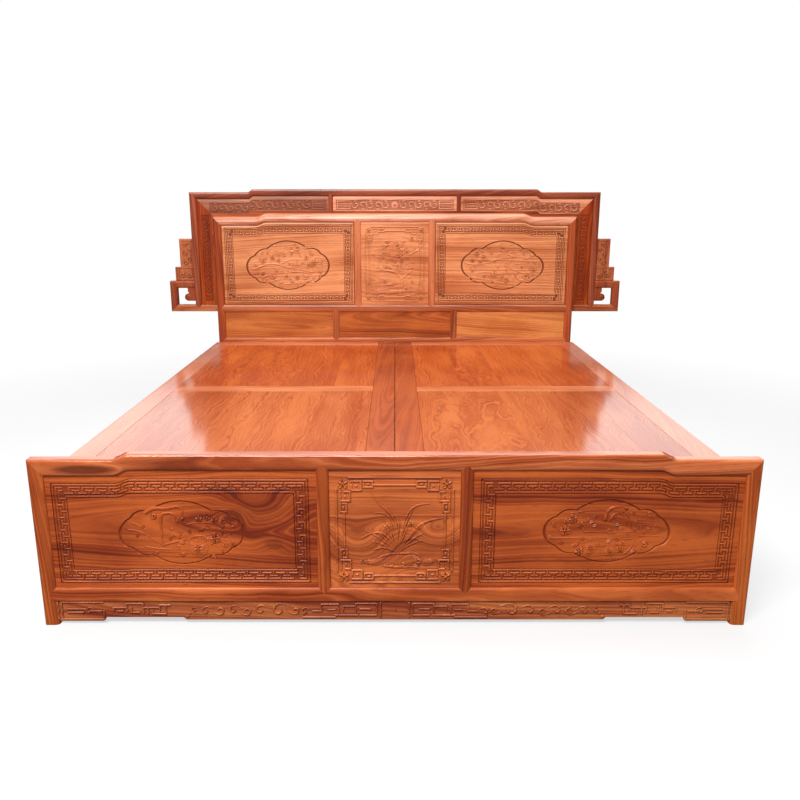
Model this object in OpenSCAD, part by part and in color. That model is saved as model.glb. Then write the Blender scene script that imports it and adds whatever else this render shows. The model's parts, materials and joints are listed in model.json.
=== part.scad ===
// Carved rosewood double bed: footboard, headboard, taller rear screen with stepped
// side wings, and a platform of two loose framed boards. Millimetres, +Z up.
// X runs across the bed, the footboard faces -Y, and the origin is on the floor
// under the middle of the whole piece.

/* [Bed] */
// Clear length between footboard and headboard
clear_l = 2025; // [1900:5:2150]
// Width over the two bed boards
platform_w = 1826; // [1600:2:2100]
// Height of the bed boards above the floor
platform_h = 410; // [360:1:430]

/* [Footboard] */
// How far the footboard stands out past the boards on each side
foot_out = 24.5; // [15:0.5:60]
// Height of the footboard at its ends
foot_h = 466; // [450:1:540]
// Thickness of the footboard frame
foot_t = 32; // [30:1:45]
// Width of the footboard posts
foot_post_w = 38; // [32:1:60]
// Height of the top rail
foot_top_rail_h = 44; // [36:1:60]
// Height of the bottom rail's underside above the floor
foot_low_rail_z = 71; // [55:1:100]
// Height of the bottom rail
foot_low_rail_h = 37; // [34:1:55]
// Distance of each stile's middle from the middle of the bed
foot_stile_x = 186; // [120:1:300]
// Width of the stiles
foot_stile_w = 33; // [30:1:45]
// Distance from the footboard's end to the middle of the step in its top edge
foot_step_in = 237.5; // [120:0.5:400]
// Length of the step's ogee
foot_step_run = 41; // [20:1:100]
// Rise of the step
foot_step_rise = 14; // [6:1:30]

/* [Apron] */
// Thickness of the apron under the footboard
apron_t = 18; // [14:1:22]
// Setback of the apron behind the footboard's face
apron_back = 6; // [2:0.5:8]
// Height of the apron's lower edge at its ends
apron_end_z = 9; // [4:0.5:15]
// Height of the apron's lower edge in its notches
apron_notch_z = 20; // [17:0.5:35]
// Height of the apron's lower edge between the notches
apron_mid_z = 13; // [6:0.5:16]
// Distance from the footboard's end to each notch
apron_notch_in = 157; // [80:1:300]
// Length of each notch at its top
apron_notch_l = 207; // [80:1:300]
// Length of the slope at each end of a notch
apron_slope = 7; // [3:0.5:20]

/* [Headboard] */
// How far the boards stand out past the headboard on each side
head_in = 8; // [0:0.5:12]
// Height of the headboard at its ends
head_h = 1036; // [960:1:1100]
// Thickness of the headboard frame
head_t = 45; // [38:1:60]
// Width of the headboard posts
head_post_w = 40; // [36:1:60]
// Height of the top rail
head_top_rail_h = 41; // [36:1:60]
// Height of the middle rail's underside above the floor
head_mid_z = 564; // [530:1:640]
// Height of the middle rail
head_mid_h = 38; // [34:1:50]
// Height of the bottom rail
head_low_rail_h = 40; // [34:1:50]
// How far the bottom rail shows above the boards
head_low_reveal = 23; // [10:1:35]
// Height of the floor rail's underside above the floor
head_floor_z = 60; // [30:1:120]
// Height of the floor rail
head_floor_h = 50; // [40:1:70]
// Distance of each upper stile's middle from the middle of the bed
head_stile_x = 186; // [120:1:280]
// Width of the upper stiles
head_stile_w = 34; // [30:1:45]
// Distance of each lower stile's middle from the middle of the bed
head_low_stile_x = 300; // [200:1:500]
// Width of the lower stiles
head_low_stile_w = 33; // [30:1:45]
// Distance from the headboard's end to the middle of the step in its top edge
head_step_in = 240; // [120:1:400]
// Length of the step's ogee
head_step_run = 60; // [20:1:100]
// Rise of the step
head_step_rise = 16; // [6:1:30]

/* [Rear screen] */
// How far the screen stands out past the headboard on each side
screen_out = 119; // [90:1:180]
// How far the screen stands above the headboard
screen_rise = 119; // [90:1:200]
// Thickness of the screen frame
screen_t = 32; // [28:1:45]
// Width of the screen posts
screen_post_w = 32; // [28:1:45]
// Height of the screen's top rail
screen_rail_h = 30; // [28:1:45]
// Height of the bottom rail's underside above the floor
screen_low_z = 562; // [500:1:620]
// Height of the screen's bottom rail
screen_low_h = 34; // [32:1:45]
// Width of the carved band of frieze and side panels
band_w = 75; // [50:1:90]
// Width of the frame inside the carved band
inner_w = 38; // [34:1:50]
// Distance of each frieze stile's middle from the middle of the bed
screen_stile_x = 319; // [200:1:450]
// Width of the frieze stiles
screen_stile_w = 25; // [24:1:35]
// Distance from the screen's end to the middle of the step in its top edge
screen_step_in = 306; // [200:1:450]
// Length of the step's ogee
screen_step_run = 28; // [16:1:80]
// Rise of the step
screen_step_rise = 14; // [6:1:30]

/* [Wings] */
// Width of the upper carved block
wing_upper_w = 66; // [40:1:90]
// Height of the upper carved block
wing_upper_h = 141; // [80:1:200]
// Width of the lower carved block
wing_lower_w = 94; // [70:1:110]
// Height of the lower carved block
wing_lower_h = 70; // [40:1:120]
// Width of the open fret loop
fret_w = 126; // [112:1:170]
// Height of the open fret loop, with both of its bars
fret_h = 155; // [145:1:220]
// Width of the fret's bars
fret_bar_w = 36; // [28:1:45]
// Thickness of the carved blocks
wing_t = 22; // [16:1:26]
// Width of the hook's neck
hook_w = 34; // [20:1:45]
// Radius of the hook's round end
hook_r = 18; // [12:1:22]
// How far the hook's round end reaches out from the post
hook_reach = 46; // [38:1:60]
// How far the hook hangs below the fret's top bar
hook_drop = 66; // [45:1:75]

/* [Panels and joints] */
// Thickness of the panels
panel_t = 14; // [12:0.5:18]
// Setback of a panel's field behind the face of its frame
panel_back = 8; // [4:0.5:10]
// Thickness of the tongue round a panel
tongue_t = 7; // [5:0.5:9]
// Depth of the grooves that hold the panels
groove_d = 8; // [5:0.5:9]
// Room for a panel to swell in its grooves
panel_gap = 1; // [0.5:0.1:2]
// Sunk margin round the field of a headboard panel
head_margin = 12; // [4:0.5:25]
// Sunk margin round the field of the other panels
plain_margin = 4; // [2:0.5:15]
// Thickness of the tenons
tenon_t = 8; // [5:0.5:10]
// Length of the tenons
tenon_l = 18; // [12:0.5:22]
// Height of the tenons in the mitred corners
corner_tenon_h = 8; // [5:0.5:10]
// Wood left between a groove and a tenon
shoulder = 1.5; // [1:0.25:2]
// Room between a tenon and its mortise, and beside a tongue
fit = 0.2; // [0.1:0.05:0.5]
// Height of the pointed ends of posts and stiles
point_h = 14; // [6:0.5:18]
// Depth of the pointed ends
point_d = 7; // [3:0.5:7]

/* [Bed boards] */
// Thickness of the boards
board_t = 28; // [24:1:36]
// Width of the outer stile of a board
board_stile_w = 75; // [60:1:120]
// Width of the inner stile of a board
board_inner_w = 83; // [60:1:120]
// Width of the front, cross and rear rails
board_rail_w = 82; // [60:1:120]
// Distance from the footboard to the middle of the cross rail
cross_rail_y = 988; // [700:1:1300]
// Thickness of the board panels
board_panel_t = 16; // [12:0.5:20]
// Gap between the two boards
seam = 2; // [1:0.1:4]
// Gap between a board and the footboard or headboard
end_gap = 2.5; // [1:0.1:5]
// Gap under the boards
rest_gap = 0.3; // [0.3:0.05:0.5]
// Width of the open joint line round a board panel
joint_line = 0.6; // [0.3:0.1:1]

/* [Platform frame] */
// Thickness of the side rails
side_rail_t = 38; // [30:1:45]
// Height of the side rails
side_rail_h = 252; // [180:1:280]
// Setback of the side rails behind the edge of the boards
side_rail_in = 5; // [0:0.5:8]
// Number of cross bearers
bearer_n = 5; // [3:1:7]
// Width of a bearer
bearer_w = 70; // [40:1:100]
// Height of a bearer
bearer_h = 45; // [30:1:60]
// Depth of the housings that hold the bearers in the side rails
housing_d = 15; // [8:1:20]
// Distance from the footboard to the middle of the first bearer
bearer_first = 150; // [120:1:300]
// Width of the centre beam and its legs
beam_w = 60; // [45:1:80]
// Height of the centre beam
beam_h = 70; // [50:1:100]
// Gap at each end of the centre beam
beam_end_gap = 3; // [1:0.5:6]
// Width of the tenons on the centre legs
leg_tenon_w = 30; // [20:1:40]
// Distance between the two centre legs
centre_leg_gap = 1000; // [600:10:1500]
// Width of the corner legs
leg_w = 60; // [50:1:80]

/* [Fasteners] */
// Diameter of the bed bolts
bolt_d = 8; // [6:0.5:10]
// Diameter of the bolt heads
bolt_head_d = 26; // [20:1:34]
// Height of the bolt heads
bolt_head_h = 4; // [2:0.5:6]
// Depth of the side bolts in the corner legs
bolt_bite = 45; // [30:1:48]
// Depth of the end bolts in the footboard and headboard
end_bite = 24; // [16:1:28]
// Distance of the side bolts from the edges of the side rails
bolt_edge = 70; // [40:1:85]
// Diameter of the screws that hold the screen
screw_d = 6; // [4:0.5:8]
// Diameter of the screw heads
screw_head_d = 14; // [10:0.5:16]
// Height of the screw heads, sunk in the frame
screw_head_h = 4; // [2:0.5:6]
// Depth of the screws in the headboard posts
screw_bite = 26; // [15:1:32]
// Number of screws on each side
screw_n = 4; // [2:1:6]
// Distance of the outer screws from the ends of the screen's inner frame
screw_end = 60; // [40:1:120]
// Room round a bolt or screw in its hole
hole_fit = 0.1; // [0.05:0.05:0.3]

/* [Hidden] */

frame_colour = "#93421d";
panel_colour = "#b8622c";
hidden_colour = "#8a5230";
metal_colour = "#b9a26a";

// Places along the bed, from the footboard's face to the screen's back
foot_y = -(foot_t + clear_l + head_t + screen_t) / 2;
foot_back_y = foot_y + foot_t;
head_y = foot_back_y + clear_l;
screen_y = head_y + head_t;
screen_back_y = screen_y + screen_t;

// Half widths, outer and inner, of the three upright frames
foot_half = platform_w / 2 + foot_out;
foot_open = foot_half - foot_post_w;
head_half = platform_w / 2 - head_in;
head_open = head_half - head_post_w;
screen_half = head_half + screen_out;
screen_open = screen_half - screen_post_w;
inner_half = screen_open - band_w;
inner_open = inner_half - inner_w;

// Heights of the panel openings
foot_open_z = foot_low_rail_z + foot_low_rail_h;
foot_top_z = foot_h - foot_top_rail_h;
head_open_z = head_mid_z + head_mid_h;
head_top_z = head_h - head_top_rail_h;
head_low_z = platform_h + head_low_reveal - head_low_rail_h;
head_low_top_z = head_low_z + head_low_rail_h;
head_floor_top_z = head_floor_z + head_floor_h;
screen_open_z = screen_low_z + screen_low_h;
screen_h = head_h + screen_rise;
screen_top_z = screen_h - screen_rail_h;
inner_top_z = screen_top_z - band_w;
inner_low_z = inner_top_z - inner_w;
frieze_in = screen_stile_x + screen_stile_w / 2;
wing_base_z = screen_low_z + fret_h;

// Underside and height of each straight rail of the headboard
head_rails = [
    [head_mid_z, head_mid_h],
    [head_low_z, head_low_rail_h],
    [head_floor_z, head_floor_h]
];

// A step in a top edge: middle of the ogee, its length and its rise
foot_step = [foot_half - foot_step_in, foot_step_run, foot_step_rise];
head_step = [head_half - head_step_in, head_step_run, head_step_rise];
screen_step = [screen_half - screen_step_in, screen_step_run, screen_step_rise];
no_step = [0, 1, 0];
ogee_parts = 8;

// Platform frame
rail_out = platform_w / 2 - side_rail_in;
rail_in = rail_out - side_rail_t;
rail_top_z = platform_h - board_t - rest_gap;
rail_low_z = rail_top_z - side_rail_h;
beam_top_z = rail_top_z - bearer_h;
beam_low_z = beam_top_z - beam_h;
leg_x = rail_in - leg_w / 2;
bearer_step = (clear_l - 2 * bearer_first) / (bearer_n - 1);

// Boards
board_y = foot_back_y + end_gap;
board_end_y = head_y - end_gap;
board_z = platform_h - board_t;
board_panel_z = platform_h - board_panel_t;
board_out = platform_w / 2;
board_in = seam / 2;
board_tongue_z = board_panel_z + (board_panel_t - tongue_t) / 2;
board_rail_in = board_in + board_inner_w;
board_rail_out = board_out - board_stile_w;
cross_y = foot_back_y + cross_rail_y - board_rail_w / 2;
board_rails_y = [board_y, cross_y, board_end_y - board_rail_w];
board_openings = [
    [board_y + board_rail_w, cross_y],
    [cross_y + board_rail_w, board_end_y - board_rail_w]
];

function side_sign(side) = side == "left" ? -1 : 1;

// Height gained at x by a step, along a cosine ogee
function ogee_rise(x, step) =
    let (t = (step[0] + step[1] / 2 - abs(x)) / step[1])
    step[2] * (t <= 0 ? 0 : t >= 1 ? 1 : (1 - cos(180 * t)) / 2);

// Places along x where an ogee bends
function ogee_marks(step) = step[2] == 0 ? [] : [
    for (side = [-1, 1], i = [0 : ogee_parts]) side * step[0] - step[1] / 2 + step[1] * i / ogee_parts
];

// Points of an edge at height z that follows the step, from x0 to x1
function step_edge(x0, x1, z, step) = [
    for (x = concat([x0], [for (m = ogee_marks(step)) if (m > x0 && m < x1) m], [x1]))
        [x, z + ogee_rise(x, step)]
];

function reversed(points) = [for (i = [len(points) - 1 : -1 : 0]) points[i]];

// The three openings between the posts and a pair of stiles
function three_spans(half, stile_x, stile_w) = [
    [-half, -stile_x - stile_w / 2],
    [-stile_x + stile_w / 2, stile_x - stile_w / 2],
    [stile_x + stile_w / 2, half]
];

foot_spans = three_spans(foot_open, foot_stile_x, foot_stile_w);
head_spans = three_spans(head_open, head_stile_x, head_stile_w);
low_spans = three_spans(head_open, head_low_stile_x, head_low_stile_w);

// An upright outline drawn in X and Z, given thickness t from y on
module upright(y, t) translate([0, y + t, 0]) rotate([90, 0, 0]) linear_extrude(t) children();

// Puts what is drawn on the right-hand side on the named side
module on_side(side) mirror([side == "left" ? 1 : 0, 0, 0]) children();

// Puts what is drawn on the right-hand side on both sides
module both_sides() for (side = ["left", "right"]) on_side(side) children();

// A flat outline drawn in X and Y, given thickness t from z on
module flat(z, t) translate([0, 0, z]) linear_extrude(t) children();

module rect(x0, x1, z0, z1) translate([x0, z0]) square([x1 - x0, z1 - z0]);

module block(x0, x1, y0, y1, z0, z1) translate([x0, y0, z0]) cube([x1 - x0, y1 - y0, z1 - z0]);

// Four-sided outline whose top edge follows a step
module stepped(x0, x1, z0, z1, step) polygon(
    concat([[x0, z0], [x1, z0]], reversed(step_edge(x0, x1, z1, step)))
);

// Rail outline: both long edges follow the step, and the ends are mitred
module stepped_rail(half_top, half_low, z0, z1, step) polygon(
    concat(step_edge(-half_low, half_low, z0, step), reversed(step_edge(-half_top, half_top, z1, step)))
);

// Post outline with a mitred top, on the right-hand side
module mitred_post(outer, inner, z0, z_inner, z_outer) polygon(
    [[inner, z0], [outer, z0], [outer, z_outer], [inner, z_inner]]
);

// Triangle that points up or down from a bar's end, with a base that overlaps the bar
module point_outline(x, w, z, h) polygon([
    [x - w / 2, z], [x - w / 2, z - sign(h) * shoulder], [x + w / 2, z - sign(h) * shoulder],
    [x + w / 2, z], [x, z + h]
]);

// Middle of the grooves, behind the face of a frame at y
function tongue_y(y) = y + panel_back + (panel_t - tongue_t) / 2;

// Fielded panel: a tongue all round and a thicker field inside a sunk margin
module fielded_panel(x0, x1, z0, z1, step, y, margin) {
    upright(tongue_y(y), tongue_t)
        stepped(x0 - groove_d + panel_gap, x1 + groove_d - panel_gap,
                z0 - groove_d, z1 + groove_d - panel_gap, step);
    upright(y + panel_back, panel_t)
        stepped(x0 + margin, x1 - margin, z0 + margin, z1 - margin, step);
}

// Grooves that take the tongues of the panels in a row of openings
module panel_grooves(spans, z0, z1, step, y) upright(tongue_y(y) - fit, tongue_t + 2 * fit)
    for (span = spans)
        stepped(span[0] - groove_d, span[1] + groove_d, z0 - groove_d, z1 + groove_d, step);

// Tenon across the middle of a frame, or its mortise when grown
module tenon(x0, x1, z0, z1, y, t, grow = 0)
    block(x0 - grow, x1 + grow, y + (t - tenon_t) / 2 - grow, y + (t + tenon_t) / 2 + grow,
          z0 - grow, z1 + grow);

// Tenons at both ends of a straight rail, let into the posts
module rail_tenons(half, z, h, y, t, grow = 0) for (side = [-1, 1])
    tenon(side * half - (side < 0 ? tenon_l : shoulder), side * half + (side < 0 ? shoulder : tenon_l),
          z + groove_d + shoulder, z + h - groove_d - shoulder, y, t, grow);

// Tenons inside the mitred top corners, on the rail
module corner_tenons(half, open, z, y, t, grow = 0) both_sides()
    tenon(open, half - groove_d, z + groove_d + shoulder,
          z + groove_d + shoulder + corner_tenon_h, y, t, grow);

// Tenons at both ends of a stile
module stile_tenons(x, w, z0, z1, step, y, t, grow = 0)
    tenon(x - w / 2 + groove_d + shoulder, x + w / 2 - groove_d - shoulder, z0 - tenon_l,
          z1 + ogee_rise(x, step) + tenon_l, y, t, grow);

// Pointed ends of a stile, let into the faces of its rails
module stile_points(x, w, z0, z1, step, y) upright(y, point_d) {
    point_outline(x, w, z0, -point_h);
    point_outline(x, w, z1 + ogee_rise(x, step), point_h);
}

// Stile between two rails, with pointed shoulders and tenons
module stile(x, w, z0, z1, step, y, t, spans) {
    difference() {
        upright(y, t) stepped(x - w / 2, x + w / 2, z0, z1, step);
        panel_grooves(spans, z0, z1, step, y);
    }
    stile_points(x, w, z0, z1, step, y);
    stile_tenons(x, w, z0, z1, step, y, t);
}

// Footboard

module foot_post(side) color(frame_colour) difference() {
    on_side(side)
        upright(foot_y, foot_t) mitred_post(foot_half, foot_open, 0, foot_top_z, foot_h);
    panel_grooves(foot_spans, foot_open_z, foot_top_z, foot_step, foot_y);
    rail_tenons(foot_open, foot_low_rail_z, foot_low_rail_h, foot_y, foot_t, fit);
    corner_tenons(foot_half, foot_open, foot_top_z, foot_y, foot_t, fit);
    apron_tongue(fit);
}

module foot_top_rail() color(frame_colour) {
    difference() {
        upright(foot_y, foot_t) stepped_rail(foot_half, foot_open, foot_top_z, foot_h, foot_step);
        panel_grooves(foot_spans, foot_open_z, foot_top_z, foot_step, foot_y);
        foot_stile_cuts();
    }
    corner_tenons(foot_half, foot_open, foot_top_z, foot_y, foot_t);
}

module foot_bottom_rail() color(frame_colour) {
    difference() {
        upright(foot_y, foot_t)
            rect(-foot_open, foot_open, foot_low_rail_z, foot_open_z);
        panel_grooves(foot_spans, foot_open_z, foot_top_z, foot_step, foot_y);
        foot_stile_cuts();
        apron_tongue(fit);
        end_bolts(hole_fit);
    }
    rail_tenons(foot_open, foot_low_rail_z, foot_low_rail_h, foot_y, foot_t);
}

// Mortises and pointed housings for both footboard stiles
module foot_stile_cuts() for (x = [-foot_stile_x, foot_stile_x]) {
    stile_points(x, foot_stile_w, foot_open_z, foot_top_z, foot_step, foot_y);
    stile_tenons(x, foot_stile_w, foot_open_z, foot_top_z, foot_step, foot_y, foot_t, fit);
}

module foot_stile(side) color(frame_colour)
    stile(side_sign(side) * foot_stile_x, foot_stile_w, foot_open_z, foot_top_z, foot_step,
          foot_y, foot_t, foot_spans);

module foot_panel(i) color(panel_colour)
    fielded_panel(foot_spans[i][0], foot_spans[i][1], foot_open_z, foot_top_z, foot_step,
                  foot_y, plain_margin);

// Half of the apron's lower edge, from the middle outwards
function apron_edge() = [
    [foot_half - apron_notch_in - apron_notch_l - 2 * apron_slope, apron_mid_z],
    [foot_half - apron_notch_in - apron_notch_l - apron_slope, apron_notch_z],
    [foot_half - apron_notch_in - apron_slope, apron_notch_z],
    [foot_half - apron_notch_in, apron_end_z],
    [foot_open, apron_end_z]
];

module apron_outline() polygon(concat(
    apron_edge(),
    [[foot_open, foot_low_rail_z], [-foot_open, foot_low_rail_z]],
    [for (p = reversed(apron_edge())) [-p[0], p[1]]]
));

// Tongue on the apron's top and ends, held by the bottom rail and the posts
module apron_tongue(grow = 0)
    upright(foot_y + apron_back + (apron_t - tongue_t) / 2 - grow, tongue_t + 2 * grow) rect(
        -foot_open - groove_d, foot_open + groove_d,
        apron_notch_z + groove_d, foot_low_rail_z + groove_d);

module foot_apron() color(frame_colour) {
    upright(foot_y + apron_back, apron_t) apron_outline();
    apron_tongue();
}

// Headboard

module head_post(side) color(frame_colour) difference() {
    on_side(side)
        upright(head_y, head_t) mitred_post(head_half, head_open, 0, head_top_z, head_h);
    head_grooves();
    for (rail = head_rails) rail_tenons(head_open, rail[0], rail[1], head_y, head_t, fit);
    corner_tenons(head_half, head_open, head_top_z, head_y, head_t, fit);
    screws(hole_fit);
}

// Grooves of all three rows of headboard panels
module head_grooves() {
    panel_grooves(head_spans, head_open_z, head_top_z, head_step, head_y);
    panel_grooves(low_spans, head_low_top_z, head_mid_z, no_step, head_y);
    panel_grooves([[-head_open, head_open]], head_floor_top_z, head_low_z, no_step, head_y);
}

module head_stile_cuts() for (side = [-1, 1]) {
    stile_points(side * head_stile_x, head_stile_w, head_open_z, head_top_z, head_step, head_y);
    stile_tenons(side * head_stile_x, head_stile_w, head_open_z, head_top_z, head_step,
                 head_y, head_t, fit);
}

module low_stile_cuts() for (side = [-1, 1]) {
    stile_points(side * head_low_stile_x, head_low_stile_w, head_low_top_z, head_mid_z,
                 no_step, head_y);
    stile_tenons(side * head_low_stile_x, head_low_stile_w, head_low_top_z, head_mid_z,
                 no_step, head_y, head_t, fit);
}

module head_top_rail() color(frame_colour) {
    difference() {
        upright(head_y, head_t) stepped_rail(head_half, head_open, head_top_z, head_h, head_step);
        head_grooves();
        head_stile_cuts();
    }
    corner_tenons(head_half, head_open, head_top_z, head_y, head_t);
}

module head_rail(i) color(i == 2 ? hidden_colour : frame_colour) {
    difference() {
        upright(head_y, head_t)
            rect(-head_open, head_open, head_rails[i][0], head_rails[i][0] + head_rails[i][1]);
        head_grooves();
        if (i == 0) head_stile_cuts();
        if (i < 2) low_stile_cuts();
        if (i == 2) end_bolts(hole_fit);
    }
    rail_tenons(head_open, head_rails[i][0], head_rails[i][1], head_y, head_t);
}

module head_stile(side) color(frame_colour)
    stile(side_sign(side) * head_stile_x, head_stile_w, head_open_z, head_top_z, head_step,
          head_y, head_t, head_spans);

module head_low_stiles() color(frame_colour) for (side = [-1, 1])
    stile(side * head_low_stile_x, head_low_stile_w, head_low_top_z, head_mid_z, no_step,
          head_y, head_t, low_spans);

module head_panel(i) color(panel_colour)
    fielded_panel(head_spans[i][0], head_spans[i][1], head_open_z, head_top_z, head_step,
                  head_y, head_margin);

module head_low_panels() color(panel_colour) for (span = low_spans)
    fielded_panel(span[0], span[1], head_low_top_z, head_mid_z, no_step, head_y, plain_margin);

module head_base_panel() color(hidden_colour)
    fielded_panel(-head_open, head_open, head_floor_top_z, head_low_z, no_step, head_y,
                  plain_margin);

// Rear screen

// Outline across the carved band: both edges follow the step
module band_outline(x0, x1, low_x0, low_x1, z0, z1) polygon(concat(
    step_edge(low_x0, low_x1, z0, screen_step), reversed(step_edge(x0, x1, z1, screen_step))
));

// Grooves on both sides of the carved band, and round the back panel
module screen_grooves() {
    upright(tongue_y(screen_y) - fit, tongue_t + 2 * fit) difference() {
        stepped(-screen_open - groove_d, screen_open + groove_d,
                screen_open_z - groove_d, screen_top_z + groove_d, screen_step);
        stepped(-inner_half + groove_d, inner_half - groove_d,
                screen_open_z - 2 * groove_d, inner_top_z - groove_d, screen_step);
    }
    panel_grooves([[-inner_open, inner_open]], screen_open_z, inner_low_z, screen_step, screen_y);
}

// Tenon at the foot of an upright, middle at x and width w
module foot_tenon(x, w, grow = 0)
    tenon(x - w / 2 + groove_d + shoulder, x + w / 2 - groove_d - shoulder,
          screen_open_z - tenon_l, screen_open_z + shoulder, screen_y, screen_t, grow);

// Pointed foot and tenon of a screen post, on the right-hand side
module post_foot(grow = 0) {
    post_x = screen_half - screen_post_w / 2;
    upright(screen_y, point_d) point_outline(post_x, screen_post_w, screen_open_z, -point_h);
    foot_tenon(post_x, screen_post_w, grow);
}

// Tongue of a wing block, let into the right-hand post
module wing_tongue(grow = 0)
    block(screen_half - groove_d, screen_half + groove_d,
          screen_y + (screen_t - tongue_t) / 2 - grow, screen_y + (screen_t + tongue_t) / 2 + grow,
          wing_base_z, wing_base_z + wing_lower_h + wing_upper_h - groove_d);

// Tenon of a fret's top bar, let into the right-hand post
module fret_tenon(grow = 0)
    tenon(screen_half - tenon_l, screen_half + shoulder, wing_base_z - fret_bar_w + groove_d,
          wing_base_z - groove_d, screen_y, screen_t, grow);

module screen_post(side) color(frame_colour) on_side(side) {
    difference() {
        upright(screen_y, screen_t)
            mitred_post(screen_half, screen_open, screen_open_z, screen_top_z, screen_h);
        screen_grooves();
        wing_tongue(fit);
        fret_tenon(fit);
        corner_tenons(screen_half, screen_open, screen_top_z, screen_y, screen_t, fit);
    }
    post_foot();
}

module screen_top_rail() color(frame_colour) {
    difference() {
        upright(screen_y, screen_t)
            stepped_rail(screen_half, screen_open, screen_top_z, screen_h, screen_step);
        screen_grooves();
        for (x = [-screen_stile_x, screen_stile_x]) frieze_stile_ends(x, fit);
    }
    corner_tenons(screen_half, screen_open, screen_top_z, screen_y, screen_t);
}

// The bottom rail runs on under the wings and meets each fret in a mitre
module screen_bottom_rail() color(frame_colour) difference() {
    upright(screen_y, screen_t) polygon([
        [-screen_half - fret_w, screen_low_z],
        [screen_half + fret_w, screen_low_z],
        [screen_half + fret_w - fret_bar_w, screen_open_z],
        [-screen_half - fret_w + fret_bar_w, screen_open_z]
    ]);
    screen_grooves();
    both_sides() {
        post_foot(fit);
        foot_tenon(inner_half - inner_w / 2, inner_w, fit);
    }
}

// Pointed top and both tenons of a frieze stile
module frieze_stile_ends(x, grow = 0) {
    rise = ogee_rise(x, screen_step);
    upright(screen_y, point_d)
        point_outline(x, screen_stile_w, screen_top_z + rise, point_h);
    tenon(x - screen_stile_w / 2 + groove_d + shoulder, x + screen_stile_w / 2 - groove_d - shoulder,
          inner_top_z + rise - tenon_l, screen_top_z + rise + tenon_l, screen_y, screen_t, grow);
}

module screen_stiles() color(frame_colour) for (x = [-screen_stile_x, screen_stile_x]) {
    difference() {
        upright(screen_y, screen_t)
            band_outline(x - screen_stile_w / 2, x + screen_stile_w / 2, x - screen_stile_w / 2,
                         x + screen_stile_w / 2, inner_top_z, screen_top_z);
        upright(tongue_y(screen_y) - fit, tongue_t + 2 * fit)
            for (edge = [-screen_stile_w / 2, screen_stile_w / 2])
                rect(x + edge - groove_d, x + edge + groove_d, inner_low_z, screen_h + screen_rail_h);
    }
    frieze_stile_ends(x);
}

module screen_inner_rail() color(hidden_colour) difference() {
    upright(screen_y, screen_t)
        stepped_rail(inner_half, inner_open, inner_low_z, inner_top_z, screen_step);
    screen_grooves();
    for (x = [-screen_stile_x, screen_stile_x]) frieze_stile_ends(x, fit);
}

module screen_inner_posts() color(hidden_colour) both_sides() {
    difference() {
        upright(screen_y, screen_t)
            mitred_post(inner_half, inner_open, screen_open_z, inner_low_z, inner_top_z);
        screen_grooves();
        screws(hole_fit);
    }
    foot_tenon(inner_half - inner_w / 2, inner_w);
}

module frieze_centre() color(panel_colour) {
    reach = screen_stile_x - screen_stile_w / 2;
    tongue = reach + groove_d - panel_gap;
    field = reach - plain_margin;
    upright(tongue_y(screen_y), tongue_t)
        band_outline(-tongue, tongue, -tongue, tongue,
                     inner_top_z - groove_d, screen_top_z + groove_d - panel_gap);
    upright(screen_y + panel_back, panel_t)
        band_outline(-field, field, -field, field,
                     inner_top_z + plain_margin, screen_top_z - plain_margin);
}

// Outer frieze panel, mitred where it meets the side panel
module frieze(side) color(panel_colour) on_side(side) {
    x_in = frieze_in - groove_d + panel_gap;
    tongue = groove_d - panel_gap;
    upright(tongue_y(screen_y), tongue_t)
        band_outline(x_in, screen_open + tongue, x_in, inner_half - groove_d,
                     inner_top_z - groove_d, screen_top_z + tongue);
    upright(screen_y + panel_back, panel_t)
        band_outline(frieze_in + plain_margin, screen_open - 2 * plain_margin,
                     frieze_in + plain_margin, inner_half,
                     inner_top_z + plain_margin, screen_top_z - plain_margin);
}

// Upright panel of the carved band, beside the outer frieze panel
module screen_side(side) color(panel_colour) on_side(side) {
    tongue = groove_d - panel_gap;
    upright(tongue_y(screen_y), tongue_t) mitred_post(
        screen_open + tongue, inner_half - tongue, screen_open_z - groove_d,
        inner_top_z - tongue, screen_top_z + tongue);
    upright(screen_y + panel_back, panel_t) mitred_post(
        screen_open - plain_margin, inner_half + plain_margin, screen_open_z + plain_margin,
        inner_top_z, screen_top_z - 2 * plain_margin);
}

module screen_back_panel() color(hidden_colour)
    fielded_panel(-inner_open, inner_open, screen_open_z, inner_low_z, screen_step, screen_y,
                  plain_margin);

// Wings

module wing_block(side) color(panel_colour) on_side(side) {
    upright(screen_y + (screen_t - wing_t) / 2, wing_t) {
        rect(screen_half, screen_half + wing_lower_w, wing_base_z, wing_base_z + wing_lower_h);
        rect(screen_half, screen_half + wing_upper_w, wing_base_z,
             wing_base_z + wing_lower_h + wing_upper_h);
    }
    wing_tongue();
}

// Neck and round end of the hook that hangs inside the fret
module hook_outline() {
    low_z = wing_base_z - fret_bar_w - hook_drop;
    round_x = screen_half + hook_reach - hook_r;
    rect(screen_half, screen_half + hook_w, low_z + hook_r, wing_base_z - fret_bar_w / 2);
    rect(screen_half, round_x, low_z, low_z + 2 * hook_r);
    translate([round_x, low_z + hook_r]) circle(hook_r, $fn = 48);
}

module wing_fret(side) color(frame_colour) on_side(side) {
    out_x = screen_half + fret_w;
    upright(screen_y, screen_t) polygon([
        [out_x, screen_low_z], [out_x, wing_base_z],
        [screen_half, wing_base_z], [screen_half, wing_base_z - fret_bar_w],
        [out_x - fret_bar_w, wing_base_z - fret_bar_w], [out_x - fret_bar_w, screen_open_z]
    ]);
    upright(screen_y + (screen_t - wing_t) / 2, wing_t) hook_outline();
    fret_tenon();
}

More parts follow.
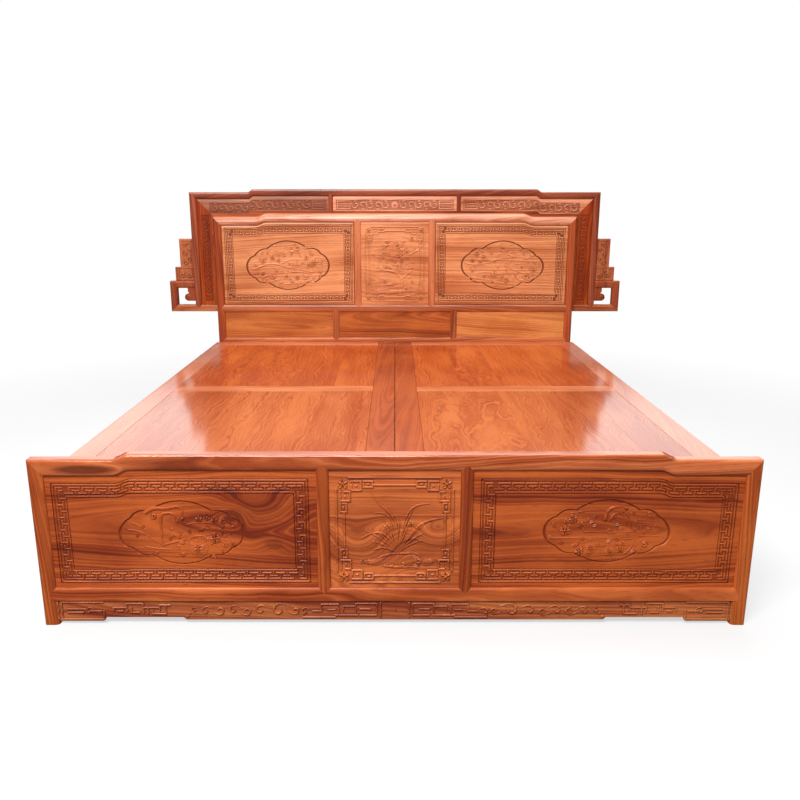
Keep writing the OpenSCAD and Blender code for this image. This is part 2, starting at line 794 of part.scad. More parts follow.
// Screws from the back of the screen's inner posts into the headboard posts
module screws(grow = 0) {
    low_x = max(inner_open + groove_d, head_open);
    high_x = min(inner_half - groove_d, head_half);
    low_z = screen_open_z + screw_end;
    pitch = (min(inner_low_z, head_top_z) - screw_end - low_z) / (screw_n - 1);
    for (side = [-1, 1], i = [0 : screw_n - 1])
        translate([side * (low_x + high_x) / 2, 0, low_z + i * pitch]) {
            along_y(screen_y - screw_bite - grow, screen_back_y, screw_d + 2 * grow);
            along_y(screen_back_y - screw_head_h - grow, screen_back_y, screw_head_d + 2 * grow);
        }
}

module along_y(y0, y1, d) translate([0, y1, 0]) rotate([90, 0, 0]) cylinder(y1 - y0, d = d, $fn = 48);

module along_x(x0, x1, d) translate([x0, 0, 0]) rotate([0, 90, 0]) cylinder(x1 - x0, d = d, $fn = 48);

module screen_screws() color(metal_colour) screws();

// Platform frame

// Bolts through the side rails into the corner legs
module side_bolts(grow = 0) both_sides()
    for (y = [foot_back_y + leg_w / 2, head_y - leg_w / 2])
        for (z = [rail_low_z + bolt_edge, rail_top_z - bolt_edge]) translate([0, y, z]) {
            along_x(rail_in - bolt_bite - grow, rail_out + bolt_head_h, bolt_d + 2 * grow);
            along_x(rail_out, rail_out + bolt_head_h, bolt_head_d);
        }

// Bolts through the corner legs into the footboard and the headboard
module end_bolts(grow = 0) both_sides() {
    translate([leg_x, 0, foot_low_rail_z + foot_low_rail_h / 2]) {
        along_y(foot_back_y - end_bite - grow, foot_back_y + leg_w + bolt_head_h, bolt_d + 2 * grow);
        along_y(foot_back_y + leg_w, foot_back_y + leg_w + bolt_head_h, bolt_head_d);
    }
    translate([leg_x, 0, head_floor_z + head_floor_h / 2]) {
        along_y(head_y - leg_w - bolt_head_h, head_y + end_bite + grow, bolt_d + 2 * grow);
        along_y(head_y - leg_w - bolt_head_h, head_y - leg_w, bolt_head_d);
    }
}

module bed_bolts() color(metal_colour) {
    side_bolts();
    end_bolts();
}

function bearer_y(i) = foot_back_y + bearer_first + i * bearer_step;

module side_rail(side) color(frame_colour) difference() {
    on_side(side)
        block(rail_in, rail_out, foot_back_y, head_y, rail_low_z, rail_top_z);
    for (i = [0 : bearer_n - 1])
        block(-rail_in - housing_d, rail_in + housing_d, bearer_y(i) - bearer_w / 2 - fit,
              bearer_y(i) + bearer_w / 2 + fit, beam_top_z, rail_top_z + fit);
    side_bolts(hole_fit);
}

module corner_legs() color(hidden_colour) difference() {
    for (y = [foot_back_y, head_y - leg_w]) both_sides()
        block(rail_in - leg_w, rail_in, y, y + leg_w, 0, rail_top_z);
    side_bolts(hole_fit);
    end_bolts(hole_fit);
}

module cross_bearers() color(hidden_colour) for (i = [0 : bearer_n - 1])
    block(-rail_in - housing_d + fit, rail_in + housing_d - fit, bearer_y(i) - bearer_w / 2,
          bearer_y(i) + bearer_w / 2, beam_top_z, rail_top_z);

// Tenons on top of the centre legs
module centre_leg_tenons(grow = 0) for (end = [-1, 1])
    translate([0, (foot_back_y + head_y + end * centre_leg_gap) / 2, 0])
        block(-leg_tenon_w / 2 - grow, leg_tenon_w / 2 + grow,
              -leg_tenon_w / 2 - grow, leg_tenon_w / 2 + grow,
              beam_low_z, beam_low_z + tenon_l + grow);

module centre_beam() color(hidden_colour) difference() {
    block(-beam_w / 2, beam_w / 2, foot_back_y + beam_end_gap, head_y - beam_end_gap,
          beam_low_z, beam_top_z);
    centre_leg_tenons(fit);
}

module centre_legs() color(hidden_colour) {
    for (end = [-1, 1]) translate([0, (foot_back_y + head_y + end * centre_leg_gap) / 2, 0])
        block(-beam_w / 2, beam_w / 2, -beam_w / 2, beam_w / 2, 0, beam_low_z);
    centre_leg_tenons();
}

// Bed boards, drawn on the right-hand side

// Grooves round both panels; each tongue rests on the floor of its groove
module board_grooves() flat(board_tongue_z, tongue_t + fit) for (opening = board_openings)
    rect(board_rail_in - groove_d, board_rail_out + groove_d,
         opening[0] - groove_d, opening[1] + groove_d);

module board_rail_tenons(grow = 0) for (y = board_rails_y)
    block(board_rail_in - tenon_l - grow, board_rail_out + tenon_l + grow,
          y + groove_d + shoulder - grow, y + board_rail_w - groove_d - shoulder + grow,
          board_z + (board_t - tenon_t) / 2 - grow, board_z + (board_t + tenon_t) / 2 + grow);

module board_stile(side, x0, x1) color(frame_colour)
    on_side(side) difference() {
        block(x0, x1, board_y, board_end_y, board_z, platform_h);
        board_grooves();
        board_rail_tenons(fit);
    }

module board_rails(side) color(frame_colour) on_side(side) {
    difference() {
        for (y = board_rails_y)
            block(board_rail_in, board_rail_out, y, y + board_rail_w, board_z, platform_h);
        board_grooves();
    }
    board_rail_tenons();
}

module board_panel(side, i) color(panel_colour) on_side(side) {
    tongue = groove_d - panel_gap;
    y0 = board_openings[i][0];
    y1 = board_openings[i][1];
    flat(board_tongue_z, tongue_t)
        rect(board_rail_in - tongue, board_rail_out + tongue, y0 - tongue, y1 + tongue);
    flat(board_panel_z, board_panel_t)
        rect(board_rail_in + joint_line, board_rail_out - joint_line,
             y0 + joint_line, y1 - joint_line);
}

foot_post("left");  // foot_post_left
foot_post("right");  // foot_post_right
foot_top_rail();
foot_bottom_rail();
foot_stile("left");  // foot_stile_left
foot_stile("right");  // foot_stile_right
foot_panel(0);  // foot_panel_left
foot_panel(1);  // foot_panel_centre
foot_panel(2);  // foot_panel_right
foot_apron();
head_post("left");  // head_post_left
head_post("right");  // head_post_right
head_top_rail();
head_rail(0);  // head_middle_rail
head_rail(1);  // head_bottom_rail
head_rail(2);  // head_floor_rail
head_stile("left");  // head_stile_left
head_stile("right");  // head_stile_right
head_panel(0);  // head_panel_left
head_panel(1);  // head_panel_centre
head_panel(2);  // head_panel_right
head_low_stiles();
head_low_panels();
head_base_panel();
screen_post("left");  // screen_post_left
screen_post("right");  // screen_post_right
screen_top_rail();
screen_bottom_rail();
screen_inner_rail();
screen_inner_posts();
screen_stiles();
frieze("left");  // screen_frieze_left
frieze_centre();  // screen_frieze_centre
frieze("right");  // screen_frieze_right
screen_side("left");  // screen_side_left
screen_side("right");  // screen_side_right
screen_back_panel();
wing_block("left");  // wing_block_left
wing_block("right");  // wing_block_right
wing_fret("left");  // wing_fret_left
wing_fret("right");  // wing_fret_right
screen_screws();
side_rail("left");  // side_rail_left
side_rail("right");  // side_rail_right
corner_legs();
bed_bolts();
centre_beam();
centre_legs();
cross_bearers();
board_stile("left", board_rail_out, board_out);  // left_board_outer_stile
board_stile("left", board_in, board_rail_in);  // left_board_inner_stile
board_rails("left");  // left_board_rails
board_panel("left", 0);  // left_board_front_panel
board_panel("left", 1);  // left_board_rear_panel
board_stile("right", board_rail_out, board_out);  // right_board_outer_stile
board_stile("right", board_in, board_rail_in);  // right_board_inner_stile
board_rails("right");  // right_board_rails
board_panel("right", 0);  // right_board_front_panel
board_panel("right", 1);  // right_board_rear_panel
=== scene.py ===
# %% [markdown]
# A carved rosewood double bed. The construction is already there as a fixed frame of named
# nodes, so this script gives it its looks: moulded frame members, carved panels, the grain
# and lacquer of the wood, a plain pale room and the camera. Everything is in metres, X runs
# across the bed, Y from the foot to the head and Z up.

import json
import math
import random

import bpy
from mathutils import Matrix, Vector


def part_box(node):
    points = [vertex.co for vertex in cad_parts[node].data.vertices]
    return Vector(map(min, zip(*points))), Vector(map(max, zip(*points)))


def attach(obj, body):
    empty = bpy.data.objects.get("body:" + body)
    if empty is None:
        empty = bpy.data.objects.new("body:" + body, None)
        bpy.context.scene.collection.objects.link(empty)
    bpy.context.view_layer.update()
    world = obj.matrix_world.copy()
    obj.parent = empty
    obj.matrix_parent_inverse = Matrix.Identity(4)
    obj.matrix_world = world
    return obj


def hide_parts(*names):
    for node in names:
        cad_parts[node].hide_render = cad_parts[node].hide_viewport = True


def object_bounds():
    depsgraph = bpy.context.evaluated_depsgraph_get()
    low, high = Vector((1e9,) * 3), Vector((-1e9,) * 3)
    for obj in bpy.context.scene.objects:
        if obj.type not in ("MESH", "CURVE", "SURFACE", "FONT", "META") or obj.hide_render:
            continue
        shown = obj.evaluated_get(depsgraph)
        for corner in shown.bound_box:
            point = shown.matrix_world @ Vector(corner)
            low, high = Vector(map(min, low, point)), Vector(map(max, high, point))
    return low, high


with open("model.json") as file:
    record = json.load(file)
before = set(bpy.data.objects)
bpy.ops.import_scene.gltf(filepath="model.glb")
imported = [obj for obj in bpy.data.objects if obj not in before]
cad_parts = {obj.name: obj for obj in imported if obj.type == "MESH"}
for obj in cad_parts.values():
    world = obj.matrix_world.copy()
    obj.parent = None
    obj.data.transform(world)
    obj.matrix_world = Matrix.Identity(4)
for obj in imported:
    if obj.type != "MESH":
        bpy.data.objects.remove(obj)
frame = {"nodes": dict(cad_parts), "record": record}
cad_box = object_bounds()
nodes = frame["nodes"]
body_of_node = {n: body for body, ns in frame["record"]["behaviour"]["bodies"].items() for n in ns}
slot_of_node = {row["node"]: row["material_slot"] for row in frame["record"]["subparts"]}
MM = 0.001
TINY = 0.01 * MM
print(len(nodes), "nodes in the box", cad_box)


def mm(*sizes):
    """Millimetres as metres."""
    return tuple(size * MM for size in sizes)


def both(stem):
    """The names and the sides of a left and a right piece."""
    return (stem + "_left", -1), (stem + "_right", 1)


def span(side, a, b):
    """Two places on one side of the bed, the lower one first."""
    return sorted((side * a, side * b))


# %% [markdown]
# The camera stands in front of the footboard at the height of a person's chest and looks
# down a little. Its lens and tilt come from the straight edges of the bed in the photo.

# %% Camera
FOOT_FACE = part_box("foot_top_rail")[0].y
CAMERA_BACK = 1.8515
CAMERA_HIGH = 1.0925
CAMERA_DOWN = math.radians(14.22)
FOCAL_PIXELS = 769
PICTURE_PIXELS = 800
MIDDLE_PIXEL_X = 394.8
FILM_WIDE = 36

bpy.ops.object.camera_add(
    location=(0, FOOT_FACE - CAMERA_BACK, CAMERA_HIGH),
    rotation=(math.pi / 2 - CAMERA_DOWN, 0, 0))
camera = bpy.context.object
camera.name = "camera"
camera.data.sensor_width = FILM_WIDE
camera.data.lens = FILM_WIDE * FOCAL_PIXELS / PICTURE_PIXELS
camera.data.shift_x = (PICTURE_PIXELS / 2 - MIDDLE_PIXEL_X) / PICTURE_PIXELS
bpy.context.scene.camera = camera
print("camera at", tuple(camera.location), "lens", camera.data.lens)

# %% [markdown]
# A material is a small tree of nodes. One helper adds a node and fills its inputs, so each
# tree below reads as a list. In a Mix node the inputs 6 and 7 are the two colours, and 2 and 3
# the two values. Colours are written as sRGB hex, as read off a screen, and one function turns
# them to the linear values that the shaders need.

# %% Node and colour helpers
def add_node(tree, kind, inputs=None, **settings):
    """Adds a node. An input takes a value, a socket, or a node, meaning its first live output."""
    node = tree.nodes.new("ShaderNode" + kind)
    for key, value in settings.items():
        setattr(node, key, value)
    for key, value in (inputs or {}).items():
        if isinstance(value, bpy.types.Node):
            value = next(socket for socket in value.outputs if socket.enabled)
        if isinstance(value, bpy.types.NodeSocket):
            tree.links.new(value, node.inputs[key])
        else:
            node.inputs[key].default_value = value
    return node


def empty_tree(owner):
    """The node tree of a material or a world, with nothing in it yet."""
    owner.use_nodes = True
    owner.node_tree.nodes.clear()
    return owner.node_tree


def linear(hex_colour):
    """An sRGB hex colour such as #ad562f as linear RGBA."""
    parts = [int(hex_colour[i:i + 2], 16) / 255 for i in (1, 3, 5)]
    return [c / 12.92 if c <= 0.04045 else ((c + 0.055) / 1.055) ** 2.4 for c in parts] + [1.0]


# %% [markdown]
# Soft studio light comes from three large lamps. One hangs above the bed and leans to the
# headboard, one fills the footboard from the camera's left, and a wide weak one behind the
# headboard lays a pale glare on the lacquer. The world gives an even light all round. The
# camera sees it white. The gloss sees a white wall that fades to dark near the floor and
# behind the camera, as in a real room, because a white room all round would wash the wood out.

# %% Lamps and world
def soft_lamp(name, place, aim, wide, high, watts):
    """A rectangular lamp that points at aim."""
    bpy.ops.object.light_add(type="AREA", location=place)
    lamp = bpy.context.object
    lamp.name = name
    lamp.data.shape = "RECTANGLE"
    lamp.data.size = wide
    lamp.data.size_y = high
    lamp.data.energy = watts
    lamp.rotation_euler = (Vector(aim) - Vector(place)).to_track_quat("-Z", "Y").to_euler()
    return lamp


soft_lamp("overhead_softbox", (0, 0.25, 3.2), (0, 0.4, 0.5), 3.2, 2.0, 70)
soft_lamp("front_softbox", (-0.9, -3.6, 3.6), (0, -0.7, 0.3), 2.6, 1.4, 235)
soft_lamp("back_softbox", (0, 6.0, 3.2), (0, 0, 0.6), 9.0, 2.8, 60).visible_camera = False
WORLD_LIGHT = 0.20

world = bpy.data.worlds.new("pale_room")
bpy.context.scene.world = world
tree = empty_tree(world)
ray = add_node(tree, "LightPath").outputs
gloss_ray = add_node(tree, "Math", {0: ray["Is Glossy Ray"], 1: ray["Is Transmission Ray"]},
                     operation="MAXIMUM")
way = add_node(tree, "SeparateXYZ", {0: add_node(tree, "TexCoord").outputs["Generated"]}).outputs
wall = add_node(tree, "MapRange", {"Value": way["Z"], "From Min": 0.205, "From Max": 0.245,
                                   "To Min": 0.12, "To Max": 1.0}, interpolation_type="SMOOTHSTEP")
behind = add_node(tree, "MapRange", {"Value": way["Y"], "From Min": -0.3, "From Max": 0.1,
                                     "To Min": 0.1, "To Max": 1.0})
wall = add_node(tree, "Math", {0: wall, 1: behind}, operation="MULTIPLY")
lit = add_node(tree, "Mix", {0: gloss_ray, 2: WORLD_LIGHT, 3: wall}, data_type="FLOAT")
strength = add_node(tree, "Math", {0: ray["Is Camera Ray"], 1: lit}, operation="MAXIMUM")
sky = add_node(tree, "Background", {"Color": (1, 1, 1, 1), "Strength": strength})
add_node(tree, "OutputWorld", {"Surface": sky})
bpy.context.scene.view_settings.view_transform = "Standard"
print("world light", WORLD_LIGHT)

# %% [markdown]
# Rosewood is an orange-red hardwood with dark wandering streaks, long fine pores and here a
# clear lacquer. A plank shows the growth rings of its log, cut along a line near the heart.
# So the figure is the distance from a tilted heart line that lies a little behind the face:
# it makes arches in the middle of a board and straight lines at its sides. Slow noise bends
# the rings, and soft clouds let them fade in and out. Every piece has its own heart line.

# %% Rosewood
GRAIN_TURN = {"X": (0, 0, 0), "Z": (0, math.pi / 2, 0), "Y": (0, 0, math.pi / 2)}
RINGS_PER_METRE = 42
LINES_PER_METRE = 210
PORE_WIDTH = 0.9 * MM
PORE_LENGTH = 22 * MM
STREAK_COLOUR = "#5a1e0c"
# Painted shade laid on the sunk ground behind a carved face
SUNK_SHADE_COLOUR = "#6a240e"
# Painted shade laid in the crevices of carving, where ambient occlusion finds them
CREVICE_SHADE_COLOUR = "#3f1206"
CARVED_ROUGH = 0.45
# How much the broad bands, the fine lines and the board count in the figure, next to the clouds
BANDS, LINES, BOARDS = 0.85, 0.60, 0.22
# The wood is dark below the first figure and light above the second
ALL_DARK, ALL_LIGHT = 0.91, 1.53
# How deep the ground of a fret or a carved strip is sunk
SUNK = 2.5 * MM
planks = random.Random(11)


def heart_line(name, grain, plank):
    """A point that the heart of the log passes, some way behind the face of the piece."""
    low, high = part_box(name) if name in nodes else cad_box
    middle = (low + high) / 2
    spot = []
    for axis, letter in enumerate("XYZ"):
        size = high[axis] - low[axis]
        far = plank.choice((-1, 1)) * plank.uniform(25, 60) * MM
        spot.append(0 if letter == grain else middle[axis] + plank.uniform(-0.3, 0.3) * size + far)
    return spot


def glued_boards(tree, place, wide, start):
    """A panel glued up from boards: each has its own tone and its own part of the log."""
    across = add_node(tree, "SeparateXYZ", {0: place}).outputs["X"]
    count = add_node(tree, "Math", {0: across, 1: 1 / wide, 2: start}, operation="MULTIPLY_ADD")
    count = add_node(tree, "Math", {0: count}, operation="FLOOR")
    tone = add_node(tree, "TexWhiteNoise", {"W": count}, noise_dimensions="1D").outputs
    spot = add_node(tree, "VectorMath", {0: tone["Color"], 1: (0.3, 9, 0.12), 2: place},
                    operation="MULTIPLY_ADD").outputs[0]
    return tone["Value"], spot


def flow_round_knot(tree, place, ring, knot, grain):
    """The rings pushed aside by a knot, and the dark heart wood of the knot."""
    x, y, z, radius, push, long, depth = knot
    stretch = [1 / long if letter == grain else 1 for letter in "XYZ"]
    near = add_node(tree, "VectorMath", {0: place, 1: (x, y, z)}, operation="SUBTRACT")
    near = add_node(tree, "VectorMath", {0: near, 1: stretch}, operation="MULTIPLY")
    far = add_node(tree, "VectorMath", {0: near}, operation="LENGTH").outputs["Value"]
    swell = add_node(tree, "MapRange", {"Value": far, "From Min": 0.0, "From Max": radius,
                                        "To Min": push, "To Max": 0.0},
                     interpolation_type="SMOOTHERSTEP")
    heart_wood = add_node(tree, "MapRange", {"Value": far, "From Min": 0.22 * radius,
                                             "From Max": 0.45 * radius, "To Min": depth,
                                             "To Max": 0.0}, interpolation_type="SMOOTHSTEP")
    return add_node(tree, "Math", {0: ring, 1: swell}, operation="ADD"), heart_wood


def rosewood(name, grain, dark, light, streaks=0.6, sunk=0.0, face=0.0, knots=(), gloss=0.7,
             drift=0.035, carved=0.0, curly=0.0, glued=0.0, fineness=1.0, haze=0.3):
    """Lacquered rosewood, sawn with its grain along one axis, then sanded and sprayed.

    sunk is how strong the painted shade is that darkens the sunk ground behind a carved face.
    knots are (x, y, z, radius, push, length by radius, darkness) of places that the grain
    flows round. drift is how far the rings wander and curly how wavy the fibres are. carved is
    how far painted shade reaches from the corners of carving, where ambient occlusion finds
    them. glued is the width of the boards that a wide panel is glued up from. haze is the
    roughness of the lacquer. The eye gets a deep soft shine over long streaks, and fine dark
    pores that only show from near."""
    material = bpy.data.materials.new("lacquered_rosewood_" + name)
    tree = empty_tree(material)
    place = add_node(tree, "TexCoord").outputs["Object"]
    shift = [planks.uniform(-9, 9) for _ in range(3)]
    heart = heart_line(name, grain, planks)
    board_tone, spot = glued_boards(tree, place, glued, shift[0]) if glued else (None, place)
    turn = [a + planks.uniform(-0.07, 0.07) for a in GRAIN_TURN[grain]]
    log = add_node(tree, "Mapping", {"Vector": spot, "Location": heart, "Rotation": turn},
                   vector_type="TEXTURE")
    along = add_node(tree, "VectorMath", {0: log, 1: shift}, operation="ADD")

    def noise(scale, detail, roughness=0.5, size=1.0):
        """Noise that is stretched along the grain."""
        stretched = add_node(tree, "Mapping", {"Vector": along, "Scale": scale})
        return add_node(tree, "TexNoise", {"Vector": stretched, "Scale": size, "Detail": detail,
                                           "Roughness": roughness})

    def stained_and_shaded(colour, stain_and_shade, share):
        """The colour under a darker one that covers a share of it. Streaks and pores are real stains;
        the shade of sunk ground and crevices is painted.
        """
        return add_node(tree, "Mix", {"Factor": share, 6: colour, 7: linear(stain_and_shade)},
                        data_type="RGBA")

    flat = add_node(tree, "VectorMath", {0: log, 1: (0, 1, 1)}, operation="MULTIPLY")
    ring = add_node(tree, "VectorMath", {0: flat}, operation="LENGTH").outputs["Value"]
    ring = add_node(tree, "Math", {0: noise((2.2, 9, 9), 2.0, 0.45), 1: drift, 2: ring},
                    operation="MULTIPLY_ADD")
    if curly:
        ring = add_node(tree, "Math", {0: noise((6, 15, 15), 2.0), 1: curly, 2: ring},
                        operation="MULTIPLY_ADD")
    dark_knots = None
    for knot in knots:
        ring, heart_wood = flow_round_knot(tree, place, ring, knot, grain)
        if dark_knots:
            heart_wood = add_node(tree, "Math", {0: heart_wood, 1: dark_knots}, operation="MAXIMUM")
        dark_knots = heart_wood

    wide = add_node(tree, "Math", {0: ring, 1: RINGS_PER_METRE}, operation="MULTIPLY")
    bands = add_node(tree, "TexNoise", {"W": wide, "Scale": fineness, "Detail": 3.0,
                                        "Roughness": 0.6}, noise_dimensions="1D")
    fine = add_node(tree, "Math", {0: ring, 1: LINES_PER_METRE}, operation="MULTIPLY")
    lines = add_node(tree, "TexNoise", {"W": fine, "Scale": 1.0, "Detail": 2.0},
                     noise_dimensions="1D")
    pores = noise((1 / PORE_LENGTH, 1 / PORE_WIDTH, 1 / PORE_WIDTH), 2.0, size=0.5)
    clouds = noise((2.6, 11, 11), 3.0)
    figure = add_node(tree, "Math", {0: bands, 1: BANDS, 2: clouds}, operation="MULTIPLY_ADD")
    figure = add_node(tree, "Math", {0: lines, 1: LINES, 2: figure}, operation="MULTIPLY_ADD")
    if board_tone:
        figure = add_node(tree, "Math", {0: board_tone, 1: BOARDS, 2: figure},
                          operation="MULTIPLY_ADD")
        figure = add_node(tree, "Math", {0: figure, 1: BOARDS / 2}, operation="SUBTRACT")
    tone = add_node(tree, "MapRange", {"Value": figure, "From Min": ALL_DARK,
                                       "From Max": ALL_LIGHT}, interpolation_type="SMOOTHSTEP")
    colour = add_node(tree, "Mix", {"Factor": tone, 6: linear(dark), 7: linear(light)},
                      data_type="RGBA")

    streak = add_node(tree, "MapRange", {"Value": bands, "From Min": 0.42, "From Max": 0.30,
                                         "To Min": 0.0, "To Max": streaks},
                      interpolation_type="SMOOTHSTEP")
    comes_and_goes = add_node(tree, "MapRange", {"Value": clouds, "From Min": 0.62,
                                                 "From Max": 0.40},
                              interpolation_type="SMOOTHSTEP")
    streak = add_node(tree, "Math", {0: streak, 1: comes_and_goes}, operation="MULTIPLY")
    if dark_knots:
        streak = add_node(tree, "Math", {0: streak, 1: dark_knots}, operation="MAXIMUM")
    colour = stained_and_shaded(colour, STREAK_COLOUR, streak)
    pore_dark = add_node(tree, "MapRange", {"Value": pores, "From Min": 0.40, "From Max": 0.28,
                                            "To Min": 0.0, "To Max": 0.45})
    colour = stained_and_shaded(colour, STREAK_COLOUR, pore_dark)
    # Painted shade: the sunk ground behind the face is darkened as if it lay in shadow
    if sunk:
        behind_face = add_node(tree, "SeparateXYZ", {0: place}).outputs["Y"]
        stain_and_shade = add_node(tree, "MapRange", {"Value": behind_face, "From Min": face + 0.85 * SUNK,
                                            "From Max": face + SUNK, "To Min": 0.0,
                                            "To Max": sunk})
        colour = stained_and_shaded(colour, SUNK_SHADE_COLOUR, stain_and_shade)
    # Painted shade: where ambient occlusion finds a crevice in the carving, the colour darkens as if in
    # shadow
    if carved:
        corner = add_node(tree, "AmbientOcclusion", {"Distance": carved}, samples=6,
                          only_local=True).outputs["AO"]
        painted_crevice_shade = add_node(tree, "MapRange", {"Value": corner, "From Min": 0.82, "From Max": 0.35,
                                          "To Min": 0.0, "To Max": 0.6})
        colour = stained_and_shaded(colour, CREVICE_SHADE_COLOUR, painted_crevice_shade)
    rough = add_node(tree, "MapRange", {"Value": clouds, "To Min": 0.55, "To Max": 0.42})
    dents = add_node(tree, "Bump", {"Height": pores, "Strength": 0.10, "Distance": 0.3 * MM})
    shader = add_node(tree, "BsdfPrincipled", {
        "Base Color": colour, "Roughness": rough, "Normal": dents, "IOR": 1.45,
        "Specular IOR Level": 0.1, "Coat Weight": gloss,
        "Coat Roughness": CARVED_ROUGH if carved else haze, "Coat IOR": 1.65})
    add_node(tree, "OutputMaterial", {"Surface": shader})
    return material


def dress(obj, material):
    """Gives the object one material."""
    obj.data.materials.clear()
    obj.data.materials.append(material)
    return obj


def stands_for(obj, node):
    """The piece rides where its node rides and is shown in its place."""
    modify(obj, "WEIGHTED_NORMAL", keep_sharp=True)
    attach(obj, body_of_node[node])
    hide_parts(node)
    return obj


def finish(obj, node, grain, dark, light, streaks=0.6, **how):
    """Puts a piece in its node's place and gives it its own plank of rosewood."""
    return dress(stands_for(obj, node), rosewood(node, grain, dark, light, streaks, **how))


# %% [markdown]
# Every member starts as a block between two corners. These helpers do what a hand does in
# the window: select one object, pick faces or edges by their place, cut along a plane, copy,
# join, and put an object's place and scale into its mesh.

# %% Operators by hand
SHARP = 38
SHARP_CARVING = 30


def only(obj):
    """Selects one object and makes it the active one."""
    bpy.ops.object.select_all(action="DESELECT")
    obj.select_set(True)
    bpy.context.view_layer.objects.active = obj
    return obj


def settle(obj):
    """Puts the object's place, turn and scale into its mesh."""
    only(obj)
    bpy.ops.object.transform_apply(location=True, rotation=True, scale=True)
    return obj


def block(name, low, high):
    """A box between two corners, to be shaped further."""
    low, high = Vector(low), Vector(high)
    bpy.ops.object.select_all(action="DESELECT")
    bpy.ops.mesh.primitive_cube_add(size=1, location=(low + high) / 2)
    obj = bpy.context.object
    obj.name = name
    obj.data.name = name
    obj.scale = high - low
    return settle(obj)


def pick(obj, kind, test):
    """Selects the faces, edges or points whose corners pass the test, and stays in edit mode."""
    only(obj)
    bpy.ops.object.mode_set(mode="EDIT")
    bpy.ops.mesh.select_mode(type=kind)
    bpy.ops.mesh.select_all(action="DESELECT")
    bpy.ops.object.mode_set(mode="OBJECT")
    mesh = obj.data
    things = {"FACE": mesh.polygons, "EDGE": mesh.edges, "VERT": mesh.vertices}[kind]
    for thing in things:
        corners = [thing.index] if kind == "VERT" else thing.vertices
        thing.select = bool(test([mesh.vertices[i].co for i in corners]))
    bpy.ops.object.mode_set(mode="EDIT")


def pick_all(obj):
    """Selects the whole mesh and stays in edit mode."""
    only(obj)
    bpy.ops.object.mode_set(mode="EDIT")
    bpy.ops.mesh.select_all(action="SELECT")


def done():
    """Leaves edit mode."""
    bpy.ops.object.mode_set(mode="OBJECT")


def cut(obj, point, normal, clear=True):
    """Cuts along a plane. With clear, the side that the normal points to goes and the cut is closed."""
    pick_all(obj)
    bpy.ops.mesh.bisect(plane_co=point, plane_no=normal, use_fill=clear, clear_outer=clear)
    done()
    return obj


def score(obj, x_lines, z_lines):
    """Cuts lines across a board and takes nothing away."""
    for x in x_lines:
        cut(obj, (x, 0, 0), (1, 0, 0), clear=False)
    for z in z_lines:
        cut(obj, (0, 0, z), (0, 0, 1), clear=False)


def copy_of(obj):
    """A copy with its own mesh."""
    twin = obj.copy()
    twin.data = obj.data.copy()
    twin.name = obj.name + "_copy"
    bpy.context.collection.objects.link(twin)
    return twin


def join(name, parts):
    """Joins several objects into one mesh."""
    bpy.ops.object.select_all(action="DESELECT")
    for part in parts:
        part.select_set(True)
    bpy.context.view_layer.objects.active = parts[0]
    if len(parts) > 1:
        bpy.ops.object.join()
    obj = bpy.context.object
    obj.name = name
    obj.data.name = name
    return obj


def modify(obj, kind, **settings):
    """Adds a modifier, sets it and applies it at once."""
    only(obj)
    modifier = obj.modifiers.new(kind.lower(), kind)
    for key, value in settings.items():
        setattr(modifier, key, value)
    bpy.ops.object.modifier_apply(modifier=modifier.name)
    return obj


def smooth(obj, degrees):
    """Shades the faces smooth where they meet at less than an angle."""
    only(obj)
    bpy.ops.object.shade_smooth_by_angle(angle=math.radians(degrees))
    return obj


def ease(obj, width=1.0 * MM, segments=2):
    """Eases the sharp arrises, as sandpaper does, and shades the rest smooth."""
    modify(obj, "BEVEL", width=width, segments=segments, limit_method="ANGLE",
           angle_limit=math.radians(SHARP))
    return smooth(obj, SHARP)


# %% [markdown]
# The frames are made like a picture frame. Round each opening the inner edge of every post,
# rail and stile is worked to the same shallow round, 15 mm wide and 7 mm deep. It is drawn
# on a block twice as deep with an even bevel, then the depth is pressed back. Where members
# meet, the rounds are cut on the mitre, so a stile ends in a point and runs on into its rail.

# %% Moulded members
ROUND_WIDE = 15 * MM
ROUND_DEEP = 7 * MM
BACK_SET = 0.6 * MM
PANEL_BACK = 8 * MM


def moulded(name, low, high, sides, wide, deep=ROUND_DEEP, steps=5):
    """A bar with a shallow round on its front, on the sides named among L, R, B and T."""
    press = deep / wide
    front = low[1]
    bar = block(name, low, (high[0], front + (high[1] - front) / press, high[2]))
    edge = {"L": (0, low[0]), "R": (0, high[0]), "B": (2, low[2]), "T": (2, high[2])}

    def wanted(corners):
        on_front = all(abs(c.y - front) < TINY for c in corners)
        return on_front and any(
            all(abs(c[edge[s][0]] - edge[s][1]) < TINY for c in corners) for s in sides)

    pick(bar, "EDGE", wanted)
    bpy.ops.mesh.bevel(offset=wide, segments=steps, affect="EDGES")
    done()
    bar.scale.y = press
    bar.location.y = front * (1 - press)
    return settle(bar)


def ogee(x, step):
    """Height gained at x by a step in a top edge: (middle, run, rise)."""
    middle, run, rise = step
    t = (middle + run / 2 - abs(x)) / run
    return rise * (0 if t <= 0 else 1 if t >= 1 else (1 - math.cos(math.pi * t)) / 2)


def raise_step(obj, step, z_from=None, z_to=None, parts=8):
    """Bends a straight piece up over a step. With two heights, the lift grows between them."""
    middle, run, _ = step
    for side in (-1, 1):
        score(obj, [side * middle - run / 2 + run * i / parts for i in range(parts + 1)], ())
    for vertex in obj.data.vertices:
        share = 1 if z_from is None else min(1, max(0, (vertex.co.z - z_from) / (z_to - z_from)))
        vertex.co.z += share * ogee(vertex.co.x, step)
    return obj


